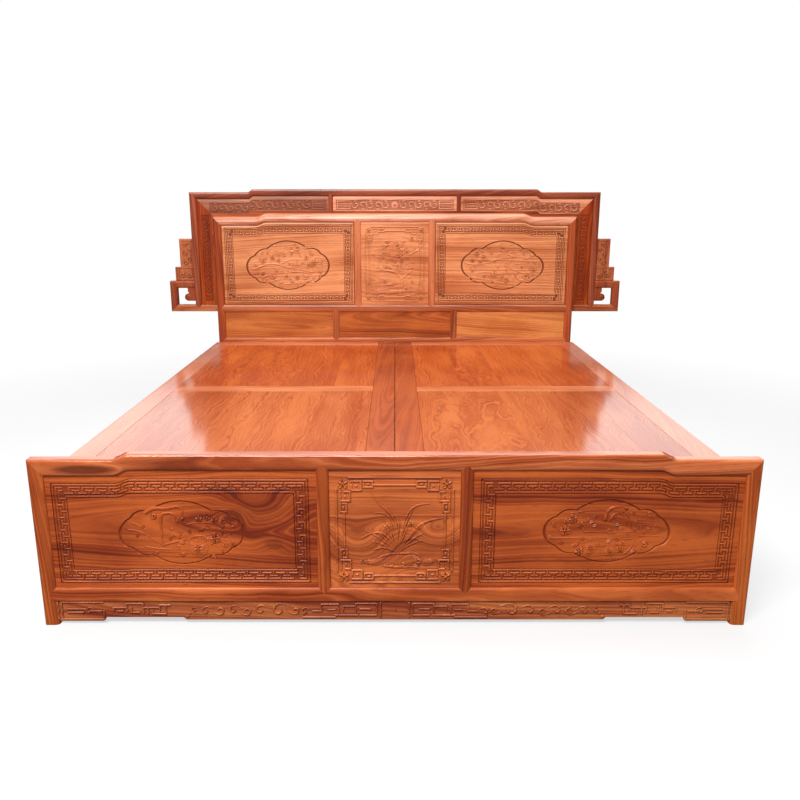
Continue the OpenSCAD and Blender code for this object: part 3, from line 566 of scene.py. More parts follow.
def corner_cut(obj, inner, outer, keep_below):
    """Cuts one end on the mitre line between the inner and the outer corner of a frame."""
    dx = outer[0] - inner[0]
    dz = outer[1] - inner[1]
    side = 1 if dx > 0 else -1
    normal = Vector((-dz * side, 0, dx * side)) * (1 if keep_below else -1)
    return cut(obj, (inner[0], 0, inner[1]), normal)


def round_over(obj, front, axis, value, radius, steps=6):
    """Rounds the front edge that lies at a value along X (0) or Z (2)."""
    pick(obj, "EDGE", lambda corners: all(abs(c.y - front) < TINY and abs(c[axis] - value) < TINY
                                          for c in corners))
    bpy.ops.mesh.bevel(offset=radius, segments=steps, affect="EDGES")
    done()
    return obj


# %% [markdown]
# Footboard, headboard and screen are the same kind of frame, so one class holds what they
# share: the planes of the faces, the posts, and the step in the top edge. Its functions make
# the members, each one as it would be ordered from a joiner.

# %% Frames
class Frame:
    """One upright frame: its faces, its posts and the step in its top edge."""

    def __init__(self, stem, step, top_open, round_edge, top_round, outer_round, panel_set):
        low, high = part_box(stem + "_post_right")
        self.front = low.y
        self.back = high.y
        self.open = low.x
        self.half = high.x
        self.top = high.z
        self.step = step
        self.top_open = top_open
        self.round_edge = round_edge
        self.panel_face = self.front + panel_set
        self.top_round = top_round
        self.outer_round = outer_round
        print(stem, "half width", self.half, "top", self.top)

    def mitre(self, bar, side, keep_below):
        """Cuts a bar on the mitre of one top corner."""
        return corner_cut(bar, (side * self.open, self.top_open), (side * self.half, self.top),
                          keep_below)

    def post(self, node, side, z_low=0.0, sides=None):
        """A post with its inner edge moulded, or both, and its top mitred."""
        x0, x1 = span(side, self.open, self.half)
        bar = moulded(node + "_moulded", (x0, self.front, z_low), (x1, self.back, self.top),
                      sides or ("L" if side > 0 else "R"), *self.round_edge)
        if self.outer_round:
            round_over(bar, self.front, 0, side * self.half, self.outer_round)
        return self.mitre(bar, side, True)

    def top_rail(self, node, sides="B"):
        """The stepped top rail, mitred at both ends."""
        bar = moulded(node + "_moulded", (-self.half, self.front, self.top_open),
                      (self.half, self.back - BACK_SET, self.top), sides, *self.round_edge)
        if self.top_round:
            round_over(bar, self.front, 2, self.top, self.top_round)
        for side in (-1, 1):
            self.mitre(bar, side, False)
        return ease(raise_step(bar, self.step))

    def cross_rail(self, node, sides):
        """A straight rail between the posts, its moulded corners cut on the mitre."""
        z_low, z_high = (corner.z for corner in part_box(node))
        reach = self.open + self.round_edge[0]
        bar = moulded(node + "_moulded", (-reach, self.front, z_low),
                      (reach, self.back - BACK_SET, z_high), sides, *self.round_edge)
        for side in (-1, 1):
            for letter, z, up in (("T", z_high, 1), ("B", z_low, -1)):
                if letter in sides:
                    cut(bar, (side * self.open, 0, z), (side, 0, up))
        return ease(bar)

    def stile(self, name, x, width, z_low, z_high):
        """A stile rounded over its whole width, with both ends cut to a point."""
        half = width / 2
        lift = ogee(x, self.step) if z_high == self.top_open else 0
        bar = moulded(name, (x - half, self.front, z_low - half),
                      (x + half, self.back - 2 * BACK_SET, z_high + lift + half), "LR",
                      half - 0.5 * MM)
        for side in (-1, 1):
            cut(bar, (x + side * half, 0, z_low), (side, 0, -1))
            cut(bar, (x + side * half, 0, z_high + lift), (side, 0, 1))
        return ease(bar, 0.6 * MM)


foot = Frame("foot", mm(700, 41, 14), 422 * MM, (ROUND_WIDE, ROUND_DEEP), 8 * MM, 5 * MM,
             PANEL_BACK)
head = Frame("head", mm(665, 60, 16), 995 * MM, mm(14, 9), 26 * MM, 14 * MM, 4 * MM)
screen = Frame("screen", mm(718, 28, 14), 1125 * MM, mm(11, 5), 0, 0, 3 * MM)

# %% Footboard frame
FRAME_DARK = "#923711"
FRAME_LIGHT = "#d1692a"
FOOT_OPEN_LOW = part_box("foot_bottom_rail")[1].z
FOOT_STILE_X = 186 * MM
FOOT_STILE_WIDE = 33 * MM
FOOT_RAIL_KNOT = (-0.79, FOOT_FACE, 0.440, 0.034, 0.012, 7, 0.8)

for node, side in both("foot_post"):
    finish(ease(foot.post(node, side)), node, "Z", FRAME_DARK, FRAME_LIGHT)
finish(foot.top_rail("foot_top_rail"), "foot_top_rail", "X", "#a5461f", "#e27c48", gloss=1.0,
       haze=0.15, curly=0.015, knots=[FOOT_RAIL_KNOT])
finish(foot.cross_rail("foot_bottom_rail", "T"), "foot_bottom_rail", "X", "#9a3d1a", "#d66f37",
       gloss=0.3, curly=0.01)
for node, side in both("foot_stile"):
    stile = foot.stile(node + "_moulded", side * FOOT_STILE_X, FOOT_STILE_WIDE, FOOT_OPEN_LOW,
                       foot.top_open)
    finish(stile, node, "Z", FRAME_DARK, FRAME_LIGHT)
print("foot opening", FOOT_OPEN_LOW, "to", foot.top_open)

# %% Headboard frame
HEAD_LOW_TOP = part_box("head_bottom_rail")[1].z
HEAD_MIDDLE_LOW, HEAD_MIDDLE_TOP = (corner.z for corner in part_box("head_middle_rail"))
HEAD_STILE_X = 186 * MM
HEAD_STILE_WIDE = 34 * MM
LOW_STILE_X = 300 * MM
LOW_STILE_WIDE = 33 * MM

for node, side in both("head_post"):
    finish(ease(head.post(node, side)), node, "Z", "#862f0e", "#c25c2f")
# The top rail's pale pinkish colours are partly the wood's own and partly a painted highlight for the
# glare of the overhead lamp on its round
finish(head.top_rail("head_top_rail"), "head_top_rail", "X", "#c07049", "#f0a887", 0.2)
finish(head.cross_rail("head_middle_rail", "BT"), "head_middle_rail", "X", "#914320", "#cb7444",
       gloss=0.6)
finish(head.cross_rail("head_bottom_rail", "T"), "head_bottom_rail", "X", "#94401a", "#cd7040",
       gloss=0.3)
for node, side in both("head_stile"):
    stile = head.stile(node + "_moulded", side * HEAD_STILE_X, HEAD_STILE_WIDE, HEAD_MIDDLE_TOP,
                       head.top_open)
    finish(stile, node, "Z", "#a04a26", "#dd8658")
low_stiles = [head.stile("low_stile", side * LOW_STILE_X, LOW_STILE_WIDE, HEAD_LOW_TOP,
                         HEAD_MIDDLE_LOW) for side in (-1, 1)]
finish(join("head_low_stiles_moulded", low_stiles), "head_low_stiles", "Z", "#8c3f1a", "#c87142")
print("head openings", HEAD_LOW_TOP, "to", HEAD_MIDDLE_LOW, "and", HEAD_MIDDLE_TOP, "to", head.top_open)

# %% [markdown]
# A fret is a band of square hooks that lock into each other, an old border pattern. It was
# carved by sinking the ground and leaving the bars standing. One unit of five bars is made
# from eased blocks, an Array modifier repeats it along a strip, and the strip is copied to
# the four sides. Uprights stand 0.15 mm lower than the bars they meet, so no faces coincide.

# %% Fret
FRET_ROW = 7.9 * MM
FRET_BAR = 4.5 * MM
FRET_PITCH = 35.5 * MM
FRET_ROWS = 4
UNDER = 0.15 * MM


def fret_bar(u0, u1, w0, w1, row, high=SUNK):
    """One eased bar of the fret between two points on its lines, flat on Y = 0."""
    half = FRET_BAR / 2 * row / FRET_ROW
    bar = block("fret_bar", (min(u0, u1) - half, -high, min(w0, w1) - half),
                (max(u0, u1) + half, 1.0 * MM, max(w0, w1) + half))
    pick(bar, "EDGE", lambda corners: all(c.y < -high + TINY for c in corners))
    bpy.ops.mesh.bevel(offset=min(0.62 * half, 0.6 * high), segments=1, affect="EDGES")
    done()
    return bar


def fret_unit(row, pitch):
    """Two hooks that lock together. Row 0 is the outer border and row 4 the inner one."""
    low = SUNK - UNDER
    p = pitch / FRET_PITCH * MM
    return join("fret_unit", [
        fret_bar(0, 0, -row, -3 * row, row, low),
        fret_bar(0, 29 * p, -row, -row, row),
        fret_bar(-10 * p, 10 * p, -3 * row, -3 * row, row),
        fret_bar(17.75 * p, 17.75 * p, -2 * row, -4 * row, row, low),
        fret_bar(9.5 * p, 26 * p, -2 * row, -2 * row, row)])


def fret_corner(row):
    """Nested angles where two strips meet, with their corner at the origin."""
    low = SUNK - UNDER
    return join("fret_corner", [
        fret_bar(row, 3.1 * row, -row, -row, row), fret_bar(row, row, -row, -3.1 * row, row, low),
        fret_bar(2 * row, 3.1 * row, -2 * row, -2 * row, row),
        fret_bar(2 * row, 2 * row, -2 * row, -3.1 * row, row, low)])


def round_field(x0, x1, z0, z1, y, make_side):
    """The four sides of a border. make_side makes the top one from its length, at the origin."""
    sides = []
    for turn, (x, z, length) in enumerate((
            (x0, z1, x1 - x0), (x1, z1, z1 - z0), (x1, z0, x1 - x0), (x0, z0, z1 - z0))):
        side = make_side(length)
        side.rotation_euler.y = turn * math.pi / 2
        side.location = (x, y, z)
        sides.append(settle(side))
    return sides


def fret_band(x0, x1, z0, z1, y, pitch, row):
    """A fret round a field. x0, x1, z0 and z1 are the middle lines of its outer bars. pitch is
    the length of one unit and row the distance of its lines."""
    corner = FRET_ROWS * row
    angle = fret_corner(row)

    def strip_of(length):
        run = length - 2 * corner
        count = max(1, round(run / pitch))
        strip = fret_unit(row, run / count)
        strip.location.x = corner + 0.3 * run / count
        settle(strip)
        modify(strip, "ARRAY", count=count, use_relative_offset=False, use_constant_offset=True,
               constant_offset_displace=(run / count, 0, 0))
        outer = fret_bar(0, length, 0, 0, row)
        inner = fret_bar(corner, length - corner, -corner, -corner, row)
        return join("fret_strip", [strip, outer, inner, copy_of(angle)])

    sides = round_field(x0, x1, z0, z1, y + SUNK, strip_of)
    bpy.data.objects.remove(angle)
    return sides


# %% [markdown]
# A panel is one board that floats in the grooves of its frame. Its face lies 8 mm behind the
# frame's face on the footboard and 4 mm on the headboard. The band that holds the fret is sunk
# with an inset, and the board is drawn with a straight top and then lifted over the step of
# the top rail, fret and all.

# %% Panels
PANEL_THICK = 14 * MM
IN_GROOVE = 8 * MM


def sink(board, face, outer, inner=None, depth=SUNK, wall=1.0 * MM):
    """Sinks a rectangle (x0, x1, z0, z1) in the face of a board, or the ring between two."""
    for rectangle in filter(None, (outer, inner)):
        score(board, rectangle[:2], rectangle[2:])

    def inside(spot, rectangle):
        return rectangle[0] < spot.x < rectangle[1] and rectangle[2] < spot.z < rectangle[3]

    def wanted(corners):
        middle = sum(corners, Vector()) / len(corners)
        on_face = all(abs(c.y - face) < TINY for c in corners)
        return on_face and inside(middle, outer) and not (inner and inside(middle, inner))

    pick(board, "FACE", wanted)
    bpy.ops.mesh.inset(thickness=wall, depth=-depth, use_even_offset=True)
    done()
    return board


def bevel_margin(board, face, x0, x1, z0, z1, wide, deep):
    """Slopes the margin of a raised panel back to its frame."""
    score(board, (x0 + wide, x1 - wide), (z0 + wide, z1 - wide))
    for x, z, lean in ((x0, z0, -1), (x0, z1, 1), (x1, z0, 1), (x1, z1, -1)):
        cut(board, (x, 0, z), (1, 0, lean), clear=False)
    for vertex in board.data.vertices:
        if abs(vertex.co.y - face) < TINY:
            out = max(x0 + wide - vertex.co.x, vertex.co.x - x1 + wide,
                      z0 + wide - vertex.co.z, vertex.co.z - z1 + wide)
            vertex.co.y += deep * max(0, min(1.4, out / wide))
    return board


def board_for(name, x0, x1, z0, z1, face):
    """The blank for a panel, let into its grooves all round."""
    return block(name, (x0 - IN_GROOVE, face, z0 - IN_GROOVE),
                 (x1 + IN_GROOVE, face + PANEL_THICK, z1 + IN_GROOVE))


def carve(name, parts, *lift):
    """Joins a board and what stands on it, and lifts them over a step where lift says so."""
    panel = join(name, parts)
    if lift:
        raise_step(panel, *lift)
    print(name, len(panel.data.polygons), "faces")
    return smooth(panel, SHARP_CARVING)


# %% [markdown]
# A cartouche is a lobed field with a groove round it. Its outline is a chain of round arcs,
# half of which is drawn and turned over. A closed prism on that outline is the cutter of a
# Boolean modifier, which is exact where a cut by hand would wobble. Stems and branches are
# curves with a round section, which become a mesh and are pressed flat.

# %% Cartouche
def arc(start, end, bulge, parts=10):
    """Points of a round arc from start to end that swells to the left of the way."""
    chord = Vector(end) - Vector(start)
    left = Vector((-chord.y, chord.x)).normalized()
    radius = (chord.length_squared / 4 + bulge ** 2) / (2 * abs(bulge))
    middle = (Vector(start) + Vector(end)) / 2 + left * (bulge - math.copysign(radius, bulge))
    half = math.asin(min(1, chord.length / 2 / radius))
    facing = math.atan2(left.y, left.x) + (0 if bulge > 0 else math.pi)
    turn = math.copysign(half, bulge)
    angles = [facing + turn * (1 - 2 * i / parts) for i in range(parts)]
    return [(middle.x + radius * math.cos(a), middle.y + radius * math.sin(a)) for a in angles]


def lobed_outline(wide, high):
    """A cartouche with a big arc above and below, a shoulder and a round end each side."""
    top_x, top_z = 0.50 * wide, 0.68 * high
    shoulder_x, shoulder_z = 0.80 * wide, 0.48 * high
    arcs = [((top_x, top_z), (-top_x, top_z), -0.32 * high),
            ((-top_x, top_z), (-shoulder_x, shoulder_z), -0.10 * high),
            ((-shoulder_x, shoulder_z), (-shoulder_x, -shoulder_z), -0.20 * wide),
            ((-shoulder_x, -shoulder_z), (-top_x, -top_z), -0.10 * high)]
    half = [point for ends in arcs for point in arc(*ends)]
    return half + [(-x, -z) for x, z in half]


def prism(name, outline, x, z, y0, y1, shrink=1.0):
    """A closed prism on an outline, narrowed towards its back."""
    bpy.ops.object.select_all(action="DESELECT")
    bpy.ops.mesh.primitive_circle_add(vertices=len(outline), radius=1, fill_type="NGON")
    obj = bpy.context.object
    obj.name = name
    for vertex, (px, pz) in zip(obj.data.vertices, outline):
        vertex.co = (x + px, y0, z + pz)
    pick_all(obj)
    bpy.ops.mesh.extrude_region_move(TRANSFORM_OT_translate={"value": (0, y1 - y0, 0)})
    done()
    for vertex in obj.data.vertices:
        if abs(vertex.co.y - y1) < TINY:
            vertex.co.x = x + (vertex.co.x - x) * shrink
            vertex.co.z = z + (vertex.co.z - z) * shrink
    pick_all(obj)
    bpy.ops.mesh.normals_make_consistent(inside=False)
    done()
    return obj


def sink_outline(board, outline, x, z, face, depth):
    """Sinks the field inside an outline below the face of a board, with sloped walls."""
    lean = 0.5 * depth / max(pz for px, pz in outline)
    wide = [(px * (1 + lean), pz * (1 + lean)) for px, pz in outline]
    knife = prism("sinking", wide, x, z, face - depth, face + depth, (1 - lean) / (1 + lean))
    modify(board, "BOOLEAN", object=knife, operation="DIFFERENCE", solver="EXACT")
    bpy.data.objects.remove(knife)
    return board


def rod(name, points, thick, press, taper):
    """A bent rod through points (x, y, z), pressed flat along Y, with a size for each point."""
    curve = bpy.data.curves.new(name, "CURVE")
    curve.dimensions = "3D"
    curve.bevel_depth = thick / 2
    curve.bevel_resolution = 3
    curve.use_fill_caps = True
    spline = curve.splines.new("NURBS")
    spline.points.add(len(points) - 1)
    for spot, (px, py, pz), size in zip(spline.points, points, taper):
        spot.co = (px, py / press, pz, 1)
        spot.radius = size
    spline.order_u = min(4, len(points))
    spline.use_endpoint_u = True
    spline.resolution_u = 5
    obj = bpy.data.objects.new(name, curve)
    bpy.context.collection.objects.link(obj)
    only(obj)
    bpy.ops.object.convert(target="MESH")
    obj = bpy.context.object
    obj.scale.y = press
    return settle(obj)


# %% [markdown]
# Carved pictures are built from a small kit of motifs, as a carver works from a pattern book:
# petals, leaves, branches, curls, birds and rocks. Each motif lies flat on Y = 0, rises a few
# millimetres to the front and is made once. Copies are put in their listed places and joined to
# the board, so that the ground runs under them as in relief cut from one piece.

# %% Petals, leaves and curls
def lump(name, length, wide, high):
    """A flattened egg that starts at the origin and points along X."""
    bpy.ops.object.select_all(action="DESELECT")
    bpy.ops.mesh.primitive_uv_sphere_add(segments=10, ring_count=6, radius=0.5, location=(0.5, 0, 0))
    obj = bpy.context.object
    obj.name = name
    settle(obj)
    obj.scale = (length, 2 * high, wide)
    return settle(obj)


def squeeze(obj, test, factor, centre=(0, 0, 0)):
    """Narrows the points that pass a test towards a centre."""
    pick(obj, "VERT", lambda corners: test(corners[0]))
    bpy.ops.transform.resize(value=factor, center_override=centre)
    done()


def make_petal(length, high):
    """A rounded petal, narrow at the heart of the flower and hollowed along its middle."""
    petal = lump("petal", length, 0.78 * length, high)
    squeeze(petal, lambda c: c.x < 0.4 * length, (1, 1, 0.45))
    squeeze(petal, lambda c: abs(c.z) < 0.12 * length and 0.35 * length < c.x < 0.9 * length,
            (1, 0.45, 1))
    return petal


def make_leaf(length, wide, high):
    """A leaf with two pointed ends and a sunk middle rib."""
    leaf = lump("leaf", length, wide, high)
    squeeze(leaf, lambda c: c.x > 0.8 * length, (1, 1, 0.3), (length, 0, 0))
    squeeze(leaf, lambda c: c.x < 0.2 * length, (1, 1, 0.3))
    squeeze(leaf, lambda c: abs(c.z) < 0.1 * wide, (1, 0.4, 1))
    return leaf


def place(obj, x, z, y=0.0, size=1.0, turn=0.0, flip=False, rise=None):
    """Moves, sizes and turns a motif. turn is in degrees against the clock, seen from the front."""
    turned = Matrix.Rotation(-math.radians(turn), 4, "Y")
    sized = Matrix.Diagonal((-size if flip else size, rise or size, size, 1))
    obj.data.transform(Matrix.Translation((x, y, z)) @ turned @ sized)
    if flip:
        obj.data.flip_normals()
    return obj


def put(motif, *where, **how):
    """A copy of a motif in its place."""
    return place(copy_of(motif), *where, **how)


def make_flower(name, rings, heart):
    """Rings of petals round a bead. rings are (count, petal length, height, first angle)."""
    parts = []
    for count, length, high, first in rings:
        petal = make_petal(length * MM, high * MM)
        parts += [put(petal, 0, 0, turn=first + 360 * i / count) for i in range(count)]
        bpy.data.objects.remove(petal)
    bead = lump("bead", 2 * heart, 2 * heart, rings[-1][2] * MM + 0.6 * MM)
    return join(name, parts + [place(bead, -heart, 0)])


def make_curl(name, radius, turns, thick, tail, wind=0.72):
    """A tapered rod that winds in to a round eye, as on clouds and rocks."""
    steps = max(6, round(turns * 8))
    points = [(radius, 0, -tail), (radius, 0, -0.5 * tail)]
    for i in range(steps + 1):
        reach = radius * (1 - wind * i / steps)
        angle = 2 * math.pi * turns * i / steps
        points.append((reach * math.cos(angle), 0, reach * math.sin(angle)))
    taper = [0.35 + 0.65 * min(1, 2.5 * i / len(points)) for i in range(len(points))]
    return rod(name, points, thick, 1.4, taper)


def make_bird():
    """A small bird that flies to the left, 30 mm from beak to tail."""
    feather = make_leaf(*mm(15, 4.6, 5))
    parts = [lump("body", *mm(17, 8, 6.5)),
             place(lump("head", *mm(6.5, 6, 6)), *mm(-3.5, 1.5)),
             place(make_leaf(*mm(5, 2.2, 2)), *mm(-7, 2.2), turn=10)]
    for x, z, size, angles in ((7, 1.5, 1.0, (62, 82, 104, 124)), (14, 0, 0.9, (-12, 4)),
                               (8, -1.5, 0.7, (-70, -95))):
        parts += [put(feather, *mm(x, z), turn=angle, size=size) for angle in angles]
    bpy.data.objects.remove(feather)
    return join("bird", parts)


KIT = {"blossom": make_flower("blossom", [(5, 10, 4.0, 18)], 2.4 * MM),
       "peony": make_flower("peony", [(9, 24, 3.6, 0), (7, 17, 5.0, 20), (5, 10.5, 6.0, 8)],
                            3.2 * MM),
       "knot": make_flower("knot", [(4, 13, 4.6, 45)], 3.5 * MM),
       "leaf": make_leaf(*mm(20, 9, 4.4)),
       "curl": make_curl("curl", 9 * MM, 1.35, 5.5 * MM, 6 * MM),
       "scroll": make_curl("scroll", 14 * MM, 0.78, 5.0 * MM, 22 * MM, wind=0.62),
       "bead": lump("bead_motif", *mm(6, 6, 4.6)),
       "bird": make_bird()}
print({name: len(motif.data.polygons) for name, motif in KIT.items()}, "faces in the kit")

# %% [markdown]
# A picture is a list of branches and of motifs. Their places are hundredths of its half width
# and half height, so one list fits a panel of any size. In the gaps a carver would put small
# leaves and curls without much thought, and a seeded random choice does the same.

# %% Pictures
GROW = 1.2
FLAT_BIRD = 0.75
PICTURE_WIDE = 167 * MM
TRIES = 1500
CLEAR = 12 * MM


def branch(points, thick, y, press=0.9):
    """A branch, stem or wave through points (x, z), half as thick at its end."""
    taper = [1 - 0.5 * i / (len(points) - 1) for i in range(len(points))]
    return rod("branch", [(x, y, z) for x, z in points], thick, press, taper)


def flat_list(kinds):
    """Motifs as (kind, u, v, size, turn) from a dictionary of their places. Size < 0 flips one."""
    return [(kind, u / 100, v / 100, *rest) for kind, rows in kinds.items() for u, v, *rest in rows]


def picture(middle_x, middle_z, wide, high, y, branches, kinds):
    """Puts branches and motifs on a ground."""
    stout = 1.15 * MM * (wide / PICTURE_WIDE) ** 0.6
    parts = [branch([(middle_x + u / 100 * wide, middle_z + v / 100 * high) for u, v in points],
                    thick * stout, y) for thick, points in branches]
    for kind, u, v, size, turn in flat_list(kinds):
        size, flip = GROW * abs(size), size < 0
        parts.append(put(KIT[kind], middle_x + u * wide, middle_z + v * high, y, size, turn, flip,
                         FLAT_BIRD if kind == "bird" else size))
    return parts


def fill_gaps(middle_x, middle_z, wide, high, y, motifs, count, size, seed, zone):
    """Small leaves, curls and blossoms where the picture leaves room in its zone."""
    chance = random.Random(seed)
    taken = [(u * wide, v * high) for kind, u, v, _, _ in motifs]
    parts = []
    for _ in range(TRIES):
        u, v = chance.uniform(*zone[:2]), chance.uniform(*zone[2:])
        x, z = u * wide, v * high
        inside = abs(u) ** 2.2 + abs(v) ** 2.2 < 0.72
        if inside and min(math.hypot(x - a, z - b) for a, b in taken) > CLEAR * size:
            taken.append((x, z))
            kind = chance.choice(("leaf", "leaf", "curl", "bead", "blossom"))
            scale = size * chance.uniform(0.8, 1.1)
            turn = chance.uniform(0, 360)
            parts.append(put(KIT[kind], middle_x + x, middle_z + z, y, scale, turn,
                             rise=0.65 * scale))
        if len(parts) == count:
            break
    return parts


# %% Pictures in the cartouches
ROCK_AND_PEONY = (
    [(9, [(-55, 62), (-42, 80), (-26, 72), (-12, 78), (-1, 84), (6, 66), (0, 46)]),
     (7, [(-28, 58), (-16, 66), (-7, 58), (-8, 42)]),
     (7, [(-30, 52), (-33, 25), (-29, 2), (-33, -20), (-29, -38)]),
     (5, [(-84, 12), (-64, 4), (-50, -10), (-38, -30), (-29, -40)]),
     (4, [(-76, 32), (-62, 22), (-50, 2)]),
     (5, [(-31, -38), (-12, -28), (5, -22), (24, -6), (46, -10), (64, 14)]),
     (4, [(46, -12), (60, -30), (78, -34)]), (4, [(8, 26), (28, 34), (48, 32), (72, 22)]),
     (4, [(-60, -42), (-40, -52), (-16, -50)])],
    {"peony": [(25, -48, 0.95, 0)],
     "blossom": [(52, -16, 1.3, 10), (28, 44, 0.9, 0), (41, 50, 0.9, 30), (52, 40, 0.8, 10),
         (64, 34, 0.75, 50), (80, -34, 0.7, 20)],
     "leaf": [(6, -62, 0.9, 200), (5, -34, 0.9, 150), (44, -66, 0.9, -30), (42, -34, 0.8, 25),
         (62, 10, 0.9, 70), (30, 2, 0.8, 60), (14, -6, 0.8, 110), (-2, -18, 0.8, 130),
         (-20, -26, 0.7, 70), (70, -26, 0.8, -40), (-62, 12, 0.7, 60), (-66, 0, 0.7, 230),
         (-36, -58, 0.7, 200), (60, -46, 0.7, -70)],
     "curl": [(-42, 52, 0.8, 150)],
     "bead": [(0, 46, 1.3, 0)]})
LOTUS_POOL = (
    [(9, [(-4, 36), (-5, 66), (6, 82), (22, 76)]),
     (7, [(3, 34), (7, 54), (17, 60), (28, 48), (30, 20)]), (6, [(24, 62), (36, 46), (37, 10)]),
     (4, [(-88, -22), (-50, -20), (-20, -24), (10, -20), (46, -26)]),
     (4, [(-36, -2), (-5, 2), (30, -4), (72, 0)]), (4, [(46, 36), (66, 34), (84, 28)]),
     (4, [(44, 20), (68, 20), (88, 12)]), (4, [(50, -14), (72, -16), (90, -14)]),
     (5, [(-46, 60), (-28, 68), (-12, 64)]), (5, [(30, -70), (42, -48), (44, -30)]),
     (4, [(16, -40), (28, -44), (40, -42)])],
    {"blossom": [(-66, 4, 1.3, 0), (-54, 40, 1.1, 20), (-42, 22, 0.9, 50), (-64, 30, 0.7, 10),
         (-42, -60, 1.1, 30), (22, -56, 0.9, 0)],
     "leaf": [(-50, -50, 1.1, 62), (-30, 26, 0.8, 20), (-14, 20, 0.8, 190), (10, 18, 0.8, 20),
         (-80, 10, 0.8, 120), (-2, -36, 0.8, 30), (20, -28, 0.8, 150), (-36, -32, 0.7, 100),
         (36, -64, 0.8, 10), (-76, -30, 0.8, -30)],
     "peony": [(-24, -52, 0.66, 0), (6, -62, 0.6, 15)],
     "curl": [(60, -40, 0.8, 20)],
     "bead": [(24, 74, 1.3, 0)]})
GARDEN_LEFT = (
    [(8, [(-84, -10), (-62, 2), (-40, 10), (-16, 2), (10, -12), (36, -14), (60, -28)]),
     (6, [(-40, 10), (-46, 34), (-32, 54), (-10, 60)]),
     (6, [(-20, 2), (-4, 22), (16, 30), (36, 24)]),
     (9, [(-62, -50), (-46, -28), (-30, -36), (-24, -62)]),
     (7, [(-44, -66), (-30, -52), (-12, -60), (2, -50)]),
     (7, [(10, -26), (26, -20), (42, -34), (56, -30)]),
     (6, [(-20, -78), (6, -70), (30, -74), (50, -58), (72, -52)]),
     (6, [(62, 30), (76, 38), (88, 24)]), (5, [(66, -6), (80, -10), (92, -4)])],
    {"bird": [(4, 56, 1.3, 0), (28, 64, -0.9, 10)],
     "blossom": [(62, 14, 1.7, 0), (44, 30, 1.2, 20), (50, 2, 1.1, 10), (-58, 22, 1.3, 30),
         (-36, 30, 1.2, 0), (-22, 22, 1.1, 40), (22, -48, 1.2, 10), (-60, -30, 1.0, 0),
         (10, -66, 1.0, 0)],
     "leaf": [(-50, 44, 1.3, 60), (-70, 6, 1.2, 160), (-10, 30, 1.2, 80), (10, 10, 1.2, -20),
         (30, 6, 1.1, 30), (-20, -16, 1.2, 200), (70, -30, 1.3, 30), (54, -44, 1.2, -20),
         (-10, -66, 1.2, 190), (62, 40, 1.1, 140), (-78, -20, 1.0, 250)],
     "peony": [(-4, -42, 0.7, 0)],
     "curl": [(-36, -44, 1.4, 30), (40, -48, 1.2, 10), (76, 12, 1.0, 0)]})
GARDEN_RIGHT = (
    [(8, [(-88, 10), (-66, 2), (-42, 8), (-18, 24), (4, 32), (20, 30)]),
     (7, [(6, 2), (20, -12), (36, -26), (52, -30), (70, -24), (88, -36)]),
     (6, [(30, 6), (46, 10), (62, 0), (78, 2)]),
     (9, [(30, -34), (36, -60), (56, -62), (68, -50), (82, -42)]),
     (6, [(-60, -30), (-36, -22), (-14, -36), (6, -30), (22, -40)]),
     (6, [(-74, -46), (-44, -56), (-20, -60), (6, -58), (30, -74)]),
     (6, [(-66, 2), (-74, 24), (-60, 44)]), (6, [(54, 26), (62, 42), (78, 44)])],
    {"bird": [(-6, 58, 1.3, 0), (30, 34, -1.5, -20)],
     "blossom": [(-62, 46, 1.4, 0), (-46, 36, 1.2, 30), (-72, 22, 1.2, 10), (-54, 12, 1.3, 20),
         (-38, 20, 1.0, 0), (74, -12, 1.2, 0), (10, -60, 1.3, 20), (-44, -40, 1.1, 0)],
     "leaf": [(-30, 40, 1.2, 60), (-84, -4, 1.2, -10), (-60, -10, 1.2, 200), (12, 46, 1.1, 30),
         (62, 44, 1.2, 20), (70, 26, 1.2, -30), (-16, -6, 1.1, 20), (-6, -46, 1.1, 10),
         (86, 2, 1.0, 80), (14, -22, 1.1, 150), (-60, -52, 1.1, 160)],
     "curl": [(58, -44, 1.5, 0), (-20, -34, 1.2, 200)],
     "peony": [(46, -6, 0.6, 0)]})
print(len(flat_list(GARDEN_LEFT[1])), "motifs in the left garden")

# %% [markdown]
# The long panels of footboard and headboard are alike: a fret along the edges, and a cartouche
# in the middle with a picture on a field of its own. The field is a plate that stands in the
# sunk cartouche and leaves a narrow groove round itself, which reads as a clean dark line.

# %% Long panels
PANEL_DARK = "#872d0f"
PANEL_LIGHT = "#cb6127"
GROOVE_SHARE = 0.052
FIELD_SET = 0.8 * MM
FRET_PROUD = 0.2 * MM
RELIEF_SET = 0.3 * MM


